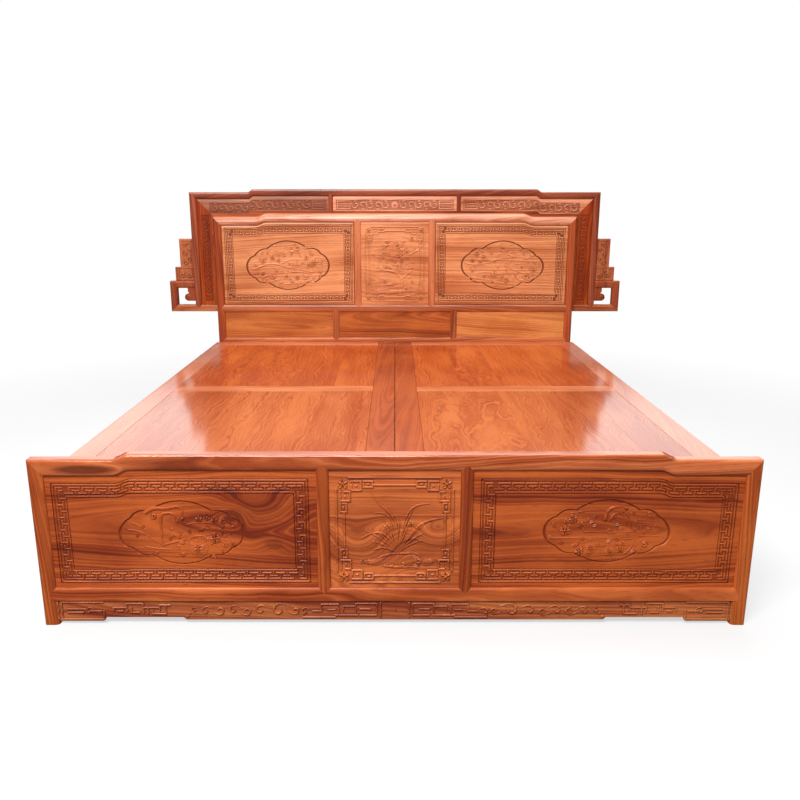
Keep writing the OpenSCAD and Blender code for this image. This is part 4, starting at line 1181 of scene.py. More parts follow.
def long_panel(name, side, frame_of, x_in, z0, fret_edges, medallion, row, pitch, scene, deep, gaps):
    """The board with its fret and cartouche, not yet joined, and the edges of its opening.

    fret_edges are the distances of the fret from post, stile, bottom and top. medallion is
    (x, z, half width, half height) of the cartouche, and deep is how far it is sunk. scene is
    the picture, and gaps are (count, size, seed, zone) of the small leaves between."""
    face = frame_of.panel_face
    x0, x1 = span(side, x_in, frame_of.open)
    z1 = frame_of.top_open
    board = board_for(name, x0, x1, z0, z1, face)
    out_edge, in_edge, low_edge, top_edge = fret_edges
    left, right = (in_edge, out_edge) if side > 0 else (out_edge, in_edge)
    lines = (x0 + left, x1 - right, z0 + low_edge, z1 - top_edge)
    outward = (-1, 1, -1, 1)
    # The sunk band ends the width of one bar past the lines of its border bars
    grow = 0.57 * row
    sink(board, face, [line + way * grow for line, way in zip(lines, outward)],
         [line - way * (FRET_ROWS * row + grow) for line, way in zip(lines, outward)],
         wall=0.8 * MM)
    mx, mz, mwide, mhigh = medallion
    outline = lobed_outline(mwide, mhigh)
    sink_outline(board, outline, mx, mz, face, deep)
    inner = [(px * (1 - GROOVE_SHARE), pz * (1 - GROOVE_SHARE)) for px, pz in outline]
    field = prism("cartouche_field", inner, mx, mz, face + FIELD_SET, face + deep + 1 * MM,
                  1 + 0.4 * deep / mhigh)
    band = fret_band(*lines, face + FRET_PROUD, pitch, row)
    ground = face + FIELD_SET + RELIEF_SET
    carving = picture(mx, mz, mwide, mhigh, ground, *scene)
    carving += fill_gaps(mx, mz, mwide, mhigh, ground, flat_list(scene[1]), *gaps)
    return [board, field] + band + carving, (x0, x1, z0, z1)


FOOT_FRET_EDGES = mm(18.5, 23.5, 15.5, 26)
FOOT_MEDALLIONS = {-1: mm(-556, 257, 167, 87), 1: mm(553, 261, 168, 86)}
FOOT_GAPS = {-1: (26, 0.85, 21, (-0.2, 0.85, -0.75, 0.35)),
             1: (40, 0.85, 22, (-0.85, 0.85, -0.75, 0.6))}
FOOT_KNOTS = {-1: [(-0.350, foot.panel_face, 0.330, 0.09, 0.045, 1.9, 0.25),
                   (-0.420, foot.panel_face, 0.312, 0.055, -0.03, 1.3, 0.5),
                   (-0.316, foot.panel_face, 0.232, 0.045, 0.015, 1.6, 0.35)], 1: ()}
for node, side in both("foot_panel"):
    parts, edges = long_panel(
        node + "_carved", side, foot, FOOT_STILE_X + FOOT_STILE_WIDE / 2, FOOT_OPEN_LOW,
        FOOT_FRET_EDGES, FOOT_MEDALLIONS[side], FRET_ROW, FRET_PITCH,
        ROCK_AND_PEONY if side < 0 else LOTUS_POOL, 3.0 * MM, FOOT_GAPS[side])
    panel = carve(node + "_carved", parts, foot.step, FOOT_OPEN_LOW, foot.top_open)
    finish(panel, node, "X", PANEL_DARK, PANEL_LIGHT, sunk=0.55, face=foot.panel_face,
           carved=5 * MM, gloss=0.4, knots=FOOT_KNOTS[side])

# %% Headboard panels
HEAD_PANEL_DARK = "#bc6533"
HEAD_PANEL_LIGHT = "#ee9e68"
HEAD_FRET_EDGES = mm(20, 14, 15, 16)
HEAD_FRET_PITCH = 34 * MM
HEAD_FRET_ROW = 8.3 * MM
HEAD_MEDALLIONS = {-1: mm(-537, 791, 212, 119), 1: mm(541, 791, 211, 119)}
HEAD_BEVEL = mm(8.5, 5)
HEAD_ZONE = (-0.9, 0.9, -0.85, 0.85)

for node, side in both("head_panel"):
    parts, edges = long_panel(
        node + "_carved", side, head, HEAD_STILE_X + HEAD_STILE_WIDE / 2, HEAD_MIDDLE_TOP,
        HEAD_FRET_EDGES, HEAD_MEDALLIONS[side], HEAD_FRET_ROW, HEAD_FRET_PITCH,
        GARDEN_LEFT if side < 0 else GARDEN_RIGHT, 4.5 * MM,
        (90, 1.1, 23 if side < 0 else 24, HEAD_ZONE))
    bevel_margin(parts[0], head.panel_face, *edges, *HEAD_BEVEL)
    panel = carve(node + "_carved", parts, head.step, HEAD_MIDDLE_TOP, head.top_open)
    finish(panel, node, "X", HEAD_PANEL_DARK, HEAD_PANEL_LIGHT, 0.2, sunk=0.85,
           face=head.panel_face, carved=4.5 * MM, gloss=0.5, fineness=0.8)

# %% [markdown]
# The two centre panels have an open border: a knot in each corner, two square curls beside
# it on each side, and thin straight bars between them. The footboard shows an orchid over a
# rock, the headboard a tree with birds.

# %% Open border
BORDER_HIGH = 3.8 * MM
CENTRE_SET = 0.4 * MM


def square_curl(wide, high, row, flip):
    """A square bar that winds once round a small square. The lines of its corner meet at the origin."""
    s = -wide if flip else wide
    low = BORDER_HIGH - UNDER
    return join("square_curl", [
        fret_bar(0, s, 0, 0, row, BORDER_HIGH), fret_bar(s, s, 0, -high, row, low),
        fret_bar(0, s, -high, -high, row, BORDER_HIGH), fret_bar(0, 0, -0.45 * high, -high, row, low),
        fret_bar(0.44 * s, 0.56 * s, -0.5 * high, -0.5 * high, row, BORDER_HIGH)])


def open_border(x0, x1, z0, z1, y, row):
    """Knots, square curls and bars along the four sides. The lines are the outer bars."""
    def side_of(length):
        parts = [put(KIT["knot"], *mm(17, -17), 0, 1.3, rise=1.3),
                 fret_bar(33 * MM, length - 33 * MM, 0, 0, row, BORDER_HIGH)]
        for start, wide, high in (mm(39, 25, 25), mm(71, 23, 16)):
            for x, flip in ((start, False), (length - start, True)):
                parts.append(place(square_curl(wide, high, row, flip), x, -10 * MM))
        parts.append(fret_bar(94 * MM, length - 94 * MM, -20 * MM, -20 * MM, row, BORDER_HIGH))
        return join("border_side", parts)

    return round_field(x0, x1, z0, z1, y, side_of)


def rocks(rows, rise, y, shift=0, turn=0.0):
    """Low mounds as (x, z, wide, high) in millimetres."""
    return [place(lump("rock", *mm(wide, high, rise)), *mm(x - wide / 2 + shift, z), y, turn=turn)
            for x, z, wide, high in rows]


# %% Footboard centre panel
FOOT_GROUND = foot.panel_face + CENTRE_SET
ORCHID_ROOT = (7, 207)
ORCHID_LEAVES = [
    [(9, 268), (0, 312), (-33, 338), (-52, 358), (-62, 378)],
    [(4, 275), (-10, 314), (-34, 324), (-54, 318)], [(20, 290), (34, 330), (60, 346), (90, 345)],
    [(32, 248), (56, 282), (84, 300), (112, 304), (138, 308)],
    [(-8, 248), (-32, 268), (-58, 268), (-88, 248)], [(-12, 222), (-34, 230), (-56, 214)],
    [(26, 230), (52, 256), (74, 264)], [(14, 252), (28, 292), (40, 318), (48, 330)],
    [(0, 240), (10, 272), (12, 300)]]
ORCHID_MOTIFS = {
    "blossom": [(-20, 284, 1.0, 0), (-16, 258, 0.9, 20), (-4, 266, 0.8, 40), (42, 290, 0.9, 10),
                (26, 276, 0.8, 30), (-84, 184, 0.9, 0), (-70, 180, 0.7, 30), (98, 182, 0.7, 0)],
    "leaf": [(-24, 296, 0.7, 150), (-74, 186, 0.7, 10), (84, 184, 0.8, 20), (-6, 186, 1.2, 170),
             (40, 196, 1.1, 10), (44, 172, 1.2, -10), (-52, 186, 1.1, 30)],
    "curl": [(62, 186, 1.3, 20), (-26, 178, 1.2, 160), (20, 176, 1.1, 0)],
    "bead": [(-10, 172, 1.2, 0)]}
ROCK_LINES = [
    [(-38, 196), (-18, 204), (8, 208), (32, 206), (50, 210), (66, 200), (74, 184), (64, 172)],
    [(-46, 182), (-30, 190), (-14, 186)], [(46, 196), (58, 188), (52, 178)],
    [(-30, 172), (-4, 168), (26, 166), (56, 168)]]
ROCKS = [(-34, 186, 56, 30), (-4, 190, 52, 36), (30, 188, 54, 38), (-62, 180, 40, 20),
         (74, 180, 40, 20)]


def blade(points, thick):
    """A long orchid leaf, thin at both ends."""
    share = [i / (len(points) - 1) for i in range(len(points))]
    taper = [0.45 + 0.55 * math.sin(math.pi * (0.25 + 0.75 * t)) for t in share]
    return rod("blade", [(x * MM, FOOT_GROUND, z * MM) for x, z in points], thick * MM, 1.2, taper)


half_open = FOOT_STILE_X - FOOT_STILE_WIDE / 2
parts = [board_for("foot_panel_centre_carved", -half_open, half_open, FOOT_OPEN_LOW,
                   foot.top_open + foot.step[2], foot.panel_face)]
parts += open_border(*mm(-151, 151, 123, 417), foot.panel_face, 9.5 * MM)
parts += [blade([ORCHID_ROOT] + leaf, 8) for leaf in ORCHID_LEAVES]
for i in range(13):
    lean = math.radians(-58 + 9.5 * i)
    long = (74, 108, 90)[i % 3]
    tip = [(ORCHID_ROOT[0] + long * t * math.sin(lean * (0.6 + 0.5 * t)),
            ORCHID_ROOT[1] + long * t * math.cos(lean * (0.6 + 0.5 * t))) for t in (0.35, 0.7, 1.0)]
    parts.append(blade([ORCHID_ROOT] + tip, 7.5))
for kind, rows in ORCHID_MOTIFS.items():
    parts += [put(KIT[kind], x * MM, z * MM, FOOT_GROUND, size, turn) for x, z, size, turn in rows]
parts += rocks(ROCKS, 4, FOOT_GROUND, 10)
parts += [blade(line, 8.5) for line in ROCK_LINES]
finish(carve("foot_panel_centre_carved", parts), "foot_panel_centre", "X", "#a0451c", "#dd7438",
       0.5, carved=7 * MM, gloss=0.5,
       knots=[(-0.095, foot.panel_face, 0.205, 0.13, 0.07, 1.3, 0.0),
              (0.115, foot.panel_face, 0.262, 0.06, 0.04, 1.4, 0.0)])

# %% Headboard centre panel
HEAD_GROUND = head.panel_face + CENTRE_SET
TREE_LIMBS = [
    (9, [(36, 690), (34, 712), (33, 738), (8, 766), (-32, 772), (-66, 780), (-82, 796)]),
    (7, [(33, 730), (50, 750), (78, 764), (96, 786)]),
    (5, [(8, 766), (20, 784), (44, 796), (70, 812), (96, 836)]),
    (7, [(124, 880), (78, 852), (38, 842), (16, 826)]),
    (5, [(118, 918), (70, 936), (34, 948), (16, 944)]),
    (6, [(-72, 686), (-48, 692), (-28, 684), (-8, 690), (26, 676)]),
    (7, [(-84, 662), (-56, 668), (-30, 656), (0, 664), (44, 652), (72, 660)]),
    (5, [(-84, 742), (-60, 728), (-40, 736)]), (5, [(-104, 852), (-92, 838), (-80, 834)])]
TREE_MOTIFS = {
    "bird": [(-6, 800, 1.5, 10), (-30, 898, -1.2, 0), (10, 884, 1.1, 20)],
    "blossom": [(34, 824, 1.3, 0), (22, 844, 1.1, 20), (60, 864, 1.2, 40), (84, 930, 1.2, 0),
                (-44, 792, 1.1, 0), (-50, 720, 1.1, 0), (58, 680, 1.0, 10)],
    "leaf": [(-96, 840, 1.3, 130), (-92, 812, 1.3, 200), (-74, 820, 1.1, 100), (-60, 792, 1.1, 60),
             (78, 776, 1.1, 60), (60, 744, 1.1, -20), (-28, 930, 1.2, 230), (4, 924, 1.2, -70),
             (56, 912, 1.2, 160), (100, 864, 1.1, 100), (-68, 712, 1.2, 20), (70, 690, 1.2, 30),
             (84, 706, 1.0, 80), (-10, 676, 1.2, 180)],
    "curl": [(-34, 668, 1.4, 30), (30, 658, 1.4, 0)]}
MOUNDS = [(-60, 672, 80, 22), (-14, 662, 90, 26), (44, 668, 76, 20), (-40, 700, 70, 14),
          (20, 690, 60, 16)]
TREE_MIDDLE = 790
TREE_WIDE = 105
TREE_HIGH = 150
TREE_ZONE = (-0.95, 0.95, -0.1, 0.85)

half_open = HEAD_STILE_X - HEAD_STILE_WIDE / 2
centre_edges = (-half_open, half_open, HEAD_MIDDLE_TOP, head.top_open + head.step[2])
parts = [board_for("head_panel_centre_carved", *centre_edges, head.panel_face)]
bevel_margin(parts[0], head.panel_face, *centre_edges, *HEAD_BEVEL)
parts += open_border(*mm(-148, 148), centre_edges[2] + 18 * MM, centre_edges[3] - 22 * MM,
                     head.panel_face, 12 * MM)
for thick, points in TREE_LIMBS:
    parts.append(branch([mm(*point) for point in points], 1.8 * thick * MM, HEAD_GROUND, 0.55))
shares = []
for kind, rows in TREE_MOTIFS.items():
    for x, z, size, turn in rows:
        parts.append(put(KIT[kind], x * MM, z * MM, HEAD_GROUND, GROW * abs(size), turn, size < 0,
                         FLAT_BIRD if kind == "bird" else 1.1))
        shares.append((kind, x / TREE_WIDE, (z - TREE_MIDDLE) / TREE_HIGH, size, turn))
parts += fill_gaps(0, *mm(TREE_MIDDLE, TREE_WIDE, TREE_HIGH), HEAD_GROUND, shares, 60, 1.25, 31,
                   TREE_ZONE)
parts += rocks(MOUNDS, 3.4, HEAD_GROUND, turn=4)
finish(carve("head_panel_centre_carved", parts), "head_panel_centre", "X", HEAD_PANEL_DARK,
       HEAD_PANEL_LIGHT, 0.25, drift=0.09, carved=4.5 * MM, gloss=0.5, fineness=0.8)

# %% Low panels of the headboard
LOW_OUT = LOW_STILE_X + LOW_STILE_WIDE / 2
LOW_IN = LOW_STILE_X - LOW_STILE_WIDE / 2
LOW_FACE = head.front + PANEL_BACK
LOW_BOARDS = ((-head.open, -LOW_OUT, "#a04c20", "#d27c3e"), (-LOW_IN, LOW_IN, "#8f3f19", "#c76a30"),
              (LOW_OUT, head.open, "#ba622d", "#e59655"))
low_boards = []
for x0, x1, dark, light in LOW_BOARDS:
    board = board_for("low_board", x0, x1, HEAD_LOW_TOP, HEAD_MIDDLE_LOW, LOW_FACE)
    bevel_margin(board, LOW_FACE, x0, x1, HEAD_LOW_TOP, HEAD_MIDDLE_LOW, *mm(5, 2))
    low_boards.append(dress(board, rosewood("head_low_panels", "X", dark, light, 0.5, gloss=0.35)))
stands_for(ease(join("head_low_panels_fielded", low_boards), 0.5 * MM), "head_low_panels")
print("low panels", len(low_boards))

# %% [markdown]
# The apron under the footboard is a thin board with a notched lower edge. Its carving is
# flat fret work near the posts, then a row of curls, then fret work again up to a small
# box in the middle. The left half is laid out and mirrored. The board itself is a copy of the
# node, because its notches are there already; its loose triangles are merged first.

# %% Apron
def eased_copy(node, name, width=1.0 * MM):
    """The node's own shape with eased arrises."""
    twin = bpy.data.objects.new(name, nodes[node].data.copy())
    bpy.context.collection.objects.link(twin)
    pick_all(twin)
    bpy.ops.mesh.remove_doubles(threshold=TINY)
    bpy.ops.mesh.dissolve_limited(angle_limit=math.radians(1))
    done()
    return ease(twin, width)


APRON_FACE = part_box("foot_apron")[0].y
APRON_RISE = 4.0 * MM
APRON_ROW = 8.2 * MM
# Bars as (x0, x1, z0, z1) in millimetres, left half, from the post to the middle
APRON_BARS = [
    (900, 900, 18, 66), (890, 890, 16, 66), (890, 778, 66, 66), (890, 778, 16, 16),
    (778, 778, 16, 40), (874, 826, 46, 46), (874, 834, 36, 36), (812, 784, 40, 40),
    (752, 752, 40, 50), (752, 716, 50, 50), (740, 728, 40, 40), (716, 716, 40, 62),
    (716, 672, 62, 62), (672, 672, 36, 62), (704, 704, 36, 50), (704, 684, 36, 36),
    (660, 660, 32, 50), (672, 628, 50, 50), (648, 648, 32, 42), (648, 612, 32, 32),
    (612, 612, 32, 58), (628, 628, 44, 58), (628, 600, 58, 58), (246, 246, 26, 34),
    (246, 160, 22, 22), (220, 196, 40, 40), (196, 196, 40, 60), (196, 150, 60, 60),
    (150, 150, 28, 60), (178, 160, 44, 44), (160, 100, 28, 28), (138, 138, 40, 54),
    (138, 104, 54, 54), (104, 104, 34, 62), (104, 48, 62, 62), (48, 48, 28, 62),
    (92, 48, 28, 28), (92, 66, 46, 46), (38, 38, 22, 64)]
# Curls as (x, z, size, turn) and beads as (x, z, size)
APRON_CURLS = [
    (536, 44, 0.6, 70), (505, 42, 0.9, 60), (468, 42, 1.05, 240), (431, 44, 1.0, 60),
    (396, 40, 1.0, 240), (359, 44, 1.1, 60), (310, 43, 1.45, 70), (266, 42, 0.9, 240),
    (240, 40, 0.8, 60), (816, 42, 0.8, 20)]
APRON_BEADS = [(556, 24, 1.5), (548, 34, 1.0), (0, 44, 1.3)]
parts = [eased_copy("foot_apron", "foot_apron_carved", 1.5 * MM)]
for side in (-1, 1):
    for x0, x1, z0, z1 in APRON_BARS:
        rise = APRON_RISE - (UNDER if x0 == x1 else 0)
        bar = fret_bar(*mm(side * x0, side * x1, z0, z1), APRON_ROW, rise)
        parts.append(place(bar, 0, 0, APRON_FACE))
    for x, z, size, turn in APRON_CURLS:
        parts.append(put(KIT["scroll"], *mm(side * x, z), APRON_FACE, size, side * -turn, side > 0,
                         1.2))
    for x, z, size in APRON_BEADS:
        if x or side > 0:
            parts.append(put(KIT["bead"], *mm(side * x - 3 * size, z), APRON_FACE, size, rise=0.9))
apron = join("foot_apron_carved", parts)
finish(apron, "foot_apron", "X", "#973d1e", "#d77d45", 0.5, carved=5 * MM, gloss=0.5)
print("apron", len(apron.data.polygons), "faces")

# %% [markdown]
# The screen stands behind the headboard. Its frame has a round of its own on both edges, the
# frieze boards have a sloped top margin that catches the light, and the carved strips are runs
# of curls and leaves.

# %% Screen frame
SCREEN_LOW, SCREEN_OPEN = (corner.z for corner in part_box("screen_bottom_rail"))
FRET_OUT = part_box("screen_bottom_rail")[1].x
FRET_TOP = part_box("wing_fret_right")[1].z
WING_BAR = 36 * MM
FRET_IN = FRET_OUT - WING_BAR
SCREEN_TONES = ("#722913", "#a55030")

for node, side in both("screen_post"):
    x0, x1 = span(side, screen.open, screen.half)
    bar = screen.post(node, side, SCREEN_OPEN - (screen.half - screen.open) / 2, "LR")
    for x, way in ((x0, -1), (x1, 1)):
        cut(bar, (x, 0, SCREEN_OPEN), (way, 0, -1))
    finish(ease(bar), node, "Z", "#813118", "#bd6440")
finish(screen.top_rail("screen_top_rail", "BT"), "screen_top_rail", "X", *SCREEN_TONES)

bar = moulded("screen_bottom_rail_moulded", (-FRET_OUT, screen.front, SCREEN_LOW),
              (FRET_OUT, screen.back - BACK_SET, SCREEN_OPEN), "T", *mm(14, 6))
for side in (-1, 1):
    corner_cut(bar, (side * FRET_IN, SCREEN_OPEN), (side * FRET_OUT, SCREEN_LOW), True)
finish(ease(bar), "screen_bottom_rail", "X", "#96431f", "#cf7a4c", gloss=0.3)

FRIEZE_STILE_X = 319 * MM
FRIEZE_STILE_WIDE = 25 * MM
INNER_TOP = 1050 * MM
stiles = []
for side in (-1, 1):
    half = FRIEZE_STILE_WIDE / 2
    x = side * FRIEZE_STILE_X
    top = screen.top_open + screen.step[2]
    bar = moulded("frieze_stile", (x - half, screen.front, INNER_TOP),
                  (x + half, screen.back - 2 * BACK_SET, top + half), "LR", *mm(12, 6))
    for way in (-1, 1):
        cut(bar, (x + way * half, 0, top), (way, 0, 1))
    stiles.append(ease(bar, 0.6 * MM))
finish(join("screen_stiles_moulded", stiles), "screen_stiles", "Z", *SCREEN_TONES)
print("screen opening", SCREEN_OPEN, "to", screen.top_open)

# %% Frieze and side panels
SCREEN_FACE = screen.panel_face
SCREEN_GROUND = SCREEN_FACE + SUNK
INNER_HALF = 917 * MM
FRIEZE_STRIP = (INNER_TOP + 4 * MM, screen.top_open - 21 * MM)
STRIP_LOOK = {"streaks": 0.5, "sunk": 0.55, "face": SCREEN_FACE, "carved": 6 * MM}


def screen_board(name, x0, x1, z0, z1, sides, *margin):
    """A board of the screen with a sloped margin on some sides."""
    return moulded(name, (x0, SCREEN_FACE, z0), (x1, SCREEN_FACE + PANEL_THICK, z1), sides,
                   *mm(*margin), 3)


def curl_run(x0, x1, z, size, pitch, upright=False):
    """A run of curls that turn up and down by turns, with leaves between. upright runs along Z."""
    count = max(1, round((x1 - x0) / pitch))
    step = (x1 - x0) / count
    lean = 90 if upright else 0
    parts = []
    for i in range(count):
        middle = x0 + (i + 0.5) * step
        spot = (z, middle) if upright else (middle, z)
        parts.append(put(KIT["scroll"], *spot, SCREEN_GROUND, size, lean + (0 if i % 2 else 180)))
        aside = (-14 if i % 2 else 14) * MM * size
        spot = (z - aside, middle) if upright else (middle - 8 * MM * size, z + aside)
        parts.append(put(KIT["leaf"], *spot, SCREEN_GROUND, 0.8 * size, lean))
    return parts


def frieze_box(x0, x1, z0, z1):
    """A small frame round two short bars."""
    row = 9.5 * MM
    inset = 9 * MM
    high = z1 - z0
    bars = [(x0, x1, z, z, row) for z in (z0, z1)]
    bars += [(x, x, z0, z1, row, SUNK - UNDER) for x in (x0, x1)]
    bars += [(x0 + inset, x1 - inset, z, z, row) for z in (z0 + high * 0.36, z0 + high * 0.64)]
    return [place(fret_bar(*bar), 0, 0, SCREEN_GROUND) for bar in bars]


for node, side in both("screen_frieze"):
    x_in = FRIEZE_STILE_X + FRIEZE_STILE_WIDE / 2 - 5 * MM
    board = screen_board(node + "_carved", *span(side, x_in, screen.open + 6 * MM),
                         INNER_TOP - 6 * MM, screen.top_open + 2 * MM, "T", 18, 11)
    cut(board, (side * INNER_HALF, 0, INNER_TOP), (side, 0, -1))
    sink(board, SCREEN_FACE, (*span(side, x_in + 16 * MM, INNER_HALF + 8 * MM), *FRIEZE_STRIP))
    parts = [board] + curl_run(*span(side, x_in + 92 * MM, INNER_HALF), sum(FRIEZE_STRIP) / 2, 1.4,
                               38 * MM)
    parts += frieze_box(*span(side, x_in + 22 * MM, x_in + 84 * MM), FRIEZE_STRIP[0] + 6 * MM,
                        FRIEZE_STRIP[1] - 6 * MM)
    tones = ("#7f3c22", "#b9714f") if side < 0 else ("#af5b32", "#e89a70")
    finish(carve(node + "_carved", parts, screen.step), node, "X", *tones, **STRIP_LOOK, gloss=0.45)

half = FRIEZE_STILE_X - FRIEZE_STILE_WIDE / 2 + 5 * MM
rise = screen.step[2]
board = screen_board("screen_frieze_centre_carved", -half, half, INNER_TOP + rise - 6 * MM,
                     screen.top_open + rise + 2 * MM, "T", 18, 11)
z0, z1 = FRIEZE_STRIP[0] + rise, FRIEZE_STRIP[1] + rise
sink(board, SCREEN_FACE, (-half + 18 * MM, half - 18 * MM, z0, z1))
parts = [board]
for side in (-1, 1):
    parts += frieze_box(*span(side, half - 26 * MM, half - 88 * MM), z0 + 6 * MM, z1 - 6 * MM)
    parts += curl_run(*span(side, 26 * MM, half - 96 * MM), (z0 + z1) / 2, 1.4, 38 * MM)
parts.append(put(KIT["peony"], 0, (z0 + z1) / 2, SCREEN_GROUND, 0.75))
finish(carve("screen_frieze_centre_carved", parts), "screen_frieze_centre", "X", "#b65e37",
       "#f1a37c", **STRIP_LOOK, gloss=0.5)

for node, side in both("screen_side"):
    board = screen_board(node + "_carved", *span(side, INNER_HALF - 6 * MM, screen.open + 2 * MM),
                         SCREEN_OPEN - 8 * MM, screen.top_open + 6 * MM, "R" if side > 0 else "L",
                         15, 9)
    cut(board, (side * INNER_HALF, 0, INNER_TOP), (-side, 0, 1))
    strip = span(side, INNER_HALF + 12 * MM, screen.open - 22 * MM)
    sink(board, SCREEN_FACE, (*strip, SCREEN_OPEN + 18 * MM, INNER_TOP - 4 * MM))
    parts = [board] + curl_run(SCREEN_OPEN + 28 * MM, INNER_TOP - 12 * MM, sum(strip) / 2, 1.1,
                               31 * MM, upright=True)
    finish(carve(node + "_carved", parts), node, "Z", "#8c2d08", "#c7561a", **STRIP_LOOK, gloss=0.25)

# %% [markdown]
# Each wing is a stepped block with clouds over a loop of square bars. A small hook with a
# cloud end hangs inside the loop. Bars and hook have their edges rounded over.

# %% Wing blocks
WING_FRONT, WING_BACK = (corner.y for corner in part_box("wing_block_right"))
WING_STEP = FRET_TOP + 70 * MM
WING_TOP = WING_STEP + 141 * MM
# The lower and the upper part as (width, z0, z1, moulded edge, set back, strip to the top)
WING_PARTS = ((94 * MM, FRET_TOP, WING_STEP, "B", 0, 6 * MM),
              (66 * MM, WING_STEP - 0.5 * MM, WING_TOP, "T", 0.4 * MM, 12 * MM))
# Clouds as (motif, out, up, size, turn), from the inner lower corner
CLOUDS = (("curl", 22, 26, 1.5, 0), ("curl", 56, 30, 1.4, 180), ("bead", 38, 44, 1.4, 0),
          ("leaf", 60, 46, 1.2, 160), ("curl", 36, 92, 1.4, 20), ("curl", 18, 112, 1.1, 180),
          ("leaf", 46, 118, 1.2, 110), ("curl", 36, 140, 1.3, 0), ("curl", 16, 158, 1.1, 200),
          ("leaf", 46, 166, 1.2, 120), ("curl", 34, 184, 1.2, 30), ("bead", 16, 188, 1.3, 0))
for node, side in both("wing_block"):
    parts = []
    for wide, z0, z1, edge, back, margin in WING_PARTS:
        x0, x1 = span(side, screen.half - 3 * MM, screen.half + wide)
        front = WING_FRONT + back
        part = moulded("wing_part", (x0, front, z0), (x1, WING_BACK, z1),
                       ("R" if side > 0 else "L") + edge, *mm(6, 3), 3)
        sink(part, front, (*span(side, screen.half, screen.half + wide - 13 * MM),
                           z0 + 13 * MM, z1 - margin), depth=2 * MM)
        parts.append(ease(part, 0.8 * MM))
    for kind, out, up, size, turn in CLOUDS:
        parts.append(put(KIT[kind], side * (screen.half + out * MM), FRET_TOP + up * MM,
                         WING_FRONT + 2 * MM, size, turn, side < 0))
    finish(join(node + "_carved", parts), node, "Z", "#8f3f1f", "#cb7245", 0.4, carved=6 * MM,
           gloss=0.4)
print("wing blocks", FRET_TOP, "to", WING_TOP)

# %% Wing frets
HOOK = [(0, 681), (38, 681), (38, 662), (31, 654), (37, 652), (46, 650), (53, 643), (55, 634),
        (53, 625), (46, 618), (36, 615), (0, 615)]


def fret_member(name, x0, x1, z0, sides):
    """A square bar of the wing's loop, rounded on two edges."""
    return moulded(name, (x0, screen.front, z0), (x1, screen.back - BACK_SET, FRET_TOP), sides,
                   *mm(10, 6), 4)


for node, side in both("wing_fret"):
    bar_low = FRET_TOP - WING_BAR
    top_mitre = (side * FRET_IN, bar_low), (side * FRET_OUT, FRET_TOP)
    upright = fret_member("fret_upright", *span(side, FRET_IN, FRET_OUT), SCREEN_LOW, "LR")
    corner_cut(upright, (side * FRET_IN, SCREEN_OPEN), (side * FRET_OUT, SCREEN_LOW), False)
    corner_cut(upright, *top_mitre, True)
    top_bar = fret_member("fret_top_bar", *span(side, screen.half, FRET_OUT), bar_low, "BT")
    corner_cut(top_bar, *top_mitre, False)
    outline = [(side * (screen.half + x * MM), z * MM) for x, z in HOOK]
    hook = prism("fret_hook", outline, 0, 0, WING_FRONT, WING_BACK)
    curl = put(KIT["curl"], side * (screen.half + 38 * MM), 633 * MM, WING_FRONT, 1.3, 0, side < 0)
    piece = join(node + "_rounded", [ease(upright), ease(top_bar), ease(hook, 3 * MM, 3), curl])
    finish(piece, node, "Z", "#843319", "#b05430", 0.4, gloss=0.5)
# Only the copies of the motifs belong to the bed
for motif in KIT.values():
    bpy.data.objects.remove(motif)
print("screen and wings done")

# %% [markdown]
# The boards that carry the mattress keep their shape from the frame. A copy of each node gets
# its arrises eased, so that every joint shows as a fine line. Their panels are glued up from
# narrow boards of curly wood, so the figure swirls and its tone changes from board to board.

# %% Mattress boards
GLUED_WIDE = 0.16
BOARD_TONES = {
    "outer_stile": ("#c4623a", "#df8558"), "inner_stile": ("#8b300d", "#bb5727"),
    "rails": ("#c0602f", "#eb9562"), "front_panel": ("#a74413", "#ce6e34"),
    "rear_panel": ("#aa3f0d", "#d36728")}
for board in ("left_board", "right_board"):
    for part, tones in BOARD_TONES.items():
        node = board + "_" + part
        look = {"fineness": 1.3}
        if part.endswith("panel"):
            look = {"fineness": 3.0, "curly": 0.07, "glued": GLUED_WIDE}
        finish(eased_copy(node, node + "_eased"), node, "X" if part == "rails" else "Y", *tones,
               0.15, gloss=1.0, haze=0.13, **look)
print("mattress boards", 2 * len(BOARD_TONES), "members")

# %% [markdown]
# The members that hardly show stay as the frame has them and only get their finish. The bolts
# and screws are brass. The wood behind and below has less lacquer, so it is darker and duller.

# %% Hidden members and brass
def turned_brass():
    """Turned brass: pale yellow, with a soft broad glint that is a little uneven from handling."""
    material = bpy.data.materials.new("turned_brass")
    tree = empty_tree(material)
    place = add_node(tree, "TexCoord").outputs["Object"]
    wear = add_node(tree, "TexNoise", {"Vector": place, "Scale": 220.0, "Detail": 2.0})
    rough = add_node(tree, "MapRange", {"Value": wear, "To Min": 0.28, "To Max": 0.42})
    shader = add_node(tree, "BsdfPrincipled", {"Base Color": linear("#b9a26a"), "Metallic": 1.0,
                                               "Roughness": rough})
    add_node(tree, "OutputMaterial", {"Surface": shader})
    return material


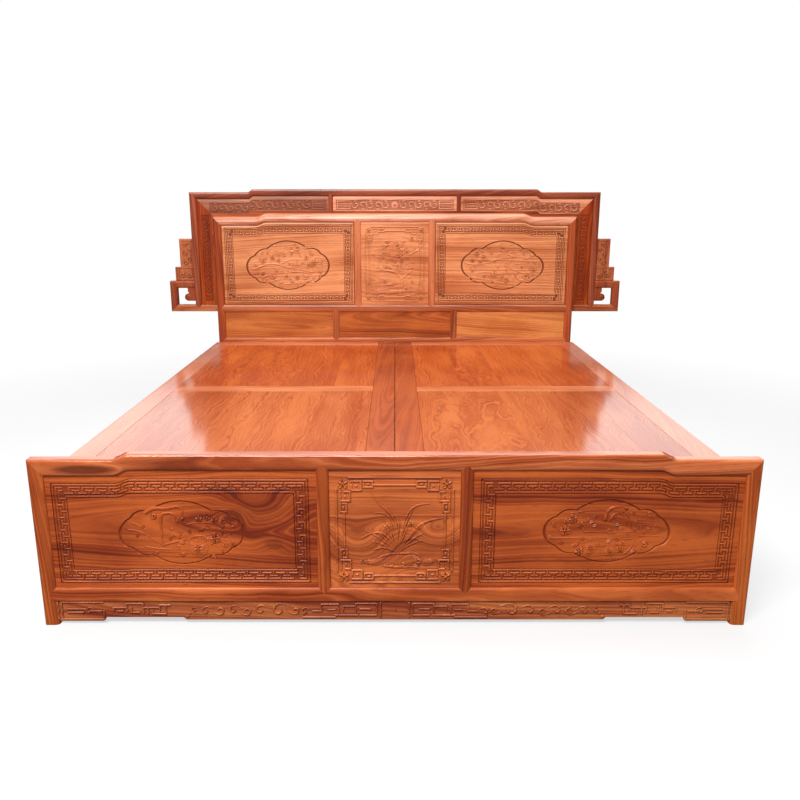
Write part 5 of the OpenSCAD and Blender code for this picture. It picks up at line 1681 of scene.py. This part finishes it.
brass = turned_brass()
for name, obj in sorted(nodes.items()):
    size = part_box(name)[1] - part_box(name)[0]
    grain = "XYZ"[max(range(3), key=lambda i: size[i])]
    if slot_of_node[name] == "brass":
        dress(obj, brass)
    elif slot_of_node[name] == "plain_rosewood":
        dress(obj, rosewood(name + "_plain", grain, "#803b1e", "#b4673e", 0.3, gloss=0.15, haze=0.5))
    else:
        dress(obj, rosewood(name + "_plain", grain, "#7f2e12", "#c0632f"))
print("hidden members done")

# %% [markdown]
# The room is a plain pale floor that keeps the soft shadow of the bed and fades to white with
# distance. The camera sees it pale. The gloss sees it dark and soft light sees it grey, or the
# floor would throw so much white light up that the wood lost its depth.

# %% Floor
FADE_FROM = 1.5
FADE_TO = 3.6
bpy.ops.object.select_all(action="DESELECT")
bpy.ops.mesh.primitive_plane_add(size=60, location=(0, 0, 0))
floor = bpy.context.object
floor.name = "floor"
paint = bpy.data.materials.new("matt_floor_paint")
tree = empty_tree(paint)
ray = add_node(tree, "LightPath").outputs
spot = add_node(tree, "TexCoord").outputs["Object"]
away = add_node(tree, "VectorMath", {0: spot}, operation="LENGTH").outputs["Value"]
fade = add_node(tree, "MapRange", {"Value": away, "From Min": FADE_FROM, "From Max": FADE_TO,
                                   "To Min": 0.62, "To Max": 1.0}, interpolation_type="SMOOTHSTEP")
share = add_node(tree, "Math", {0: ray["Is Camera Ray"], 1: fade}, operation="MULTIPLY")
shade = add_node(tree, "Mix", {"Factor": ray["Is Diffuse Ray"], 6: linear("#f0f0f0"),
                               7: linear("#8a8a8a")}, data_type="RGBA")
shade = add_node(tree, "Mix", {"Factor": ray["Is Glossy Ray"], 6: shade, 7: linear("#3c3c3c")},
                 data_type="RGBA")
matt = add_node(tree, "BsdfDiffuse", {"Color": shade})
glow = add_node(tree, "Emission", {"Color": (1, 1, 1, 1), "Strength": 1.0})
both_looks = add_node(tree, "MixShader", {0: share, 1: matt, 2: glow})
add_node(tree, "OutputMaterial", {"Surface": both_looks})
dress(floor, paint)
print("floor", floor.dimensions.x, "m wide")
